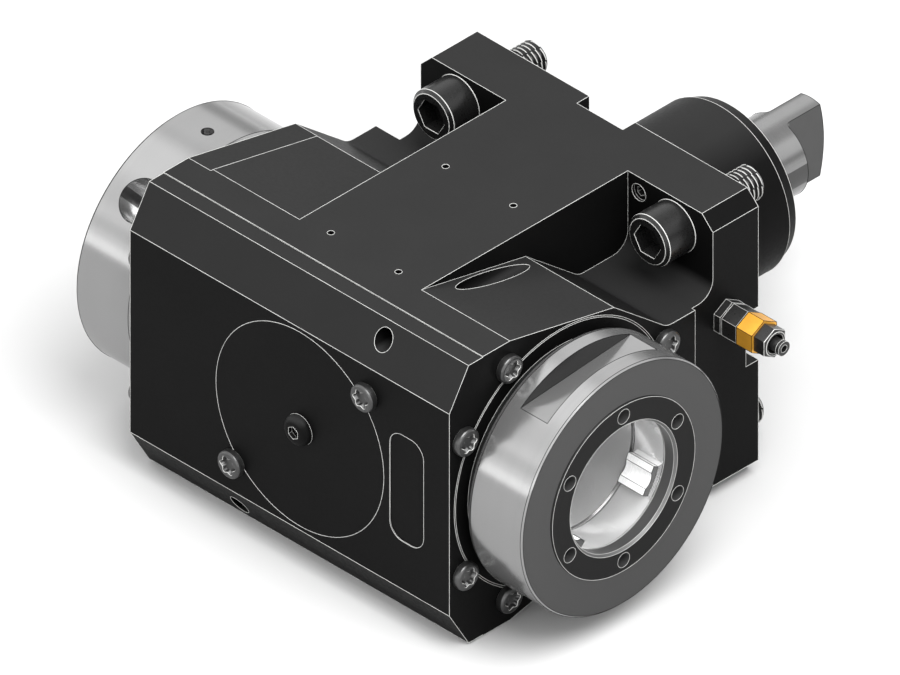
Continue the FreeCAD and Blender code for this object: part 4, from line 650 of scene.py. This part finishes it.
def make_floor():
    """A plain pale floor just below the holder."""
    mesh = bpy.data.meshes.new("floor")
    shape = bmesh.new()
    bmesh.ops.create_grid(shape, x_segments=1, y_segments=1, size=FLOOR_SIZE / 2)
    shape.to_mesh(mesh)
    shape.free()
    floor = bpy.data.objects.new("floor", mesh)
    floor.location.z = cad_box[0][2] - FLOOR_GAP
    bpy.context.scene.collection.objects.link(floor)
    made = Nodes("pale_floor")
    made.set(Base_Color=(*grey(FLOOR_GREY), 1), Roughness=0.9, Specular_IOR_Level=0.0)
    mesh.materials.append(made.material)


# The studio's walls, in front of the holder and behind it: height above the horizon, as the
# sine of the angle, and brightness
FRONT_WALLS = [(0.0, 4.1), (0.07, 3.9), (0.16, 2.4), (0.26, 1.65), (0.31, 1.65), (0.38, 2.5), (0.47, 2.2),
               (0.53, 1.9), (0.67, 1.95), (0.78, 2.6), (0.88, 2.2)]
BACK_WALLS = [(0.0, 1.6), (0.08, 0.8), (0.17, 0.35), (0.26, 0.5), (0.36, 1.5), (0.58, 1.6), (0.70, 1.7),
              (0.78, 0.6), (0.88, 0.5)]
BRIGHTEST = 4.1
# How far back a direction points where the front walls end, and where the back walls are reached
FRONT_END = 0.1
BACK_START = 0.45


def wall_bands(tree, height, walls):
    """Level bands of brightness, as shares of the brightest."""
    ramp = tree.nodes.new("ShaderNodeValToRGB")
    ramp.color_ramp.interpolation = "EASE"
    while len(ramp.color_ramp.elements) < len(walls):
        ramp.color_ramp.elements.new(0.5)
    for stop, (place, value) in zip(ramp.color_ramp.elements, walls):
        stop.position = place
        stop.color = (*grey(value / BRIGHTEST), 1)
    tree.links.new(height, ramp.inputs[0])
    return ramp.outputs[0]


def make_world():
    """Plain soft studio light from all sides, in level bands."""
    world = bpy.data.worlds.new("studio")
    world.use_nodes = True
    tree = world.node_tree
    background = tree.nodes["Background"]
    place = tree.nodes.new("ShaderNodeTexCoord")
    parts = tree.nodes.new("ShaderNodeSeparateXYZ")
    tree.links.new(place.outputs["Generated"], parts.inputs[0])
    backward = tree.nodes.new("ShaderNodeMapRange")
    backward.interpolation_type = "SMOOTHSTEP"
    backward.inputs["From Min"].default_value = FRONT_END
    backward.inputs["From Max"].default_value = BACK_START
    tree.links.new(parts.outputs["Y"], backward.inputs["Value"])
    walls = tree.nodes.new("ShaderNodeMix")
    walls.data_type = "RGBA"
    tree.links.new(backward.outputs[0], walls.inputs["Factor"])
    tree.links.new(wall_bands(tree, parts.outputs["Z"], FRONT_WALLS), walls.inputs["A"])
    tree.links.new(wall_bands(tree, parts.outputs["Z"], BACK_WALLS), walls.inputs["B"])
    tree.links.new(walls.outputs["Result"], background.inputs["Color"])
    background.inputs["Strength"].default_value = BRIGHTEST
    bpy.context.scene.world = world


LAMP_PLACE = Vector((0.75, -0.25, 1.4))
LAMP_AIM = Vector((0, -0.05, 0))
LAMP_SIZE = 1.2
LAMP_WATTS = 40


def make_lamp():
    """A broad soft lamp, high on the right."""
    lamp = bpy.data.lights.new("key_light", "AREA")
    lamp.shape = "DISK"
    lamp.size = LAMP_SIZE
    lamp.energy = LAMP_WATTS
    holder = bpy.data.objects.new("key_light", lamp)
    holder.location = LAMP_PLACE
    holder.rotation_euler = (LAMP_AIM - LAMP_PLACE).to_track_quat("-Z", "Y").to_euler()
    bpy.context.scene.collection.objects.link(holder)


# The photograph's view: parallel, with the three axes equally foreshortened
PHOTO_WIDTH = 900
PHOTO_HEIGHT = 675
PIXELS_PER_METRE = 3253
ORIGIN_PIXEL = (612.2, 248.8)
VIEW_DISTANCE = 1.5


def make_camera():
    """The photograph's view."""
    towards = Vector((1, -1, 1)).normalized()
    right = Vector((1, 1, 0)).normalized()
    up = towards.cross(right)
    across = (PHOTO_WIDTH / 2 - ORIGIN_PIXEL[0]) / PIXELS_PER_METRE
    down = (PHOTO_HEIGHT / 2 - ORIGIN_PIXEL[1]) / PIXELS_PER_METRE
    middle = right * across - up * down
    lens = bpy.data.cameras.new("camera")
    lens.type = "ORTHO"
    lens.ortho_scale = PHOTO_WIDTH / PIXELS_PER_METRE
    camera = bpy.data.objects.new("camera", lens)
    turn = Matrix((right, up, towards)).transposed()
    camera.matrix_world = Matrix.Translation(middle + towards * VIEW_DISTANCE) @ turn.to_4x4()
    bpy.context.scene.collection.objects.link(camera)
    bpy.context.scene.camera = camera


def make_studio():
    """Floor, light and camera."""
    make_floor()
    make_world()
    make_lamp()
    make_camera()
    view = bpy.context.scene.view_settings
    view.view_transform = "Standard"
    view.look = "None"


make_bolts()
make_pan_screws()
make_lock_nut()
finish_nodes()
make_studio()
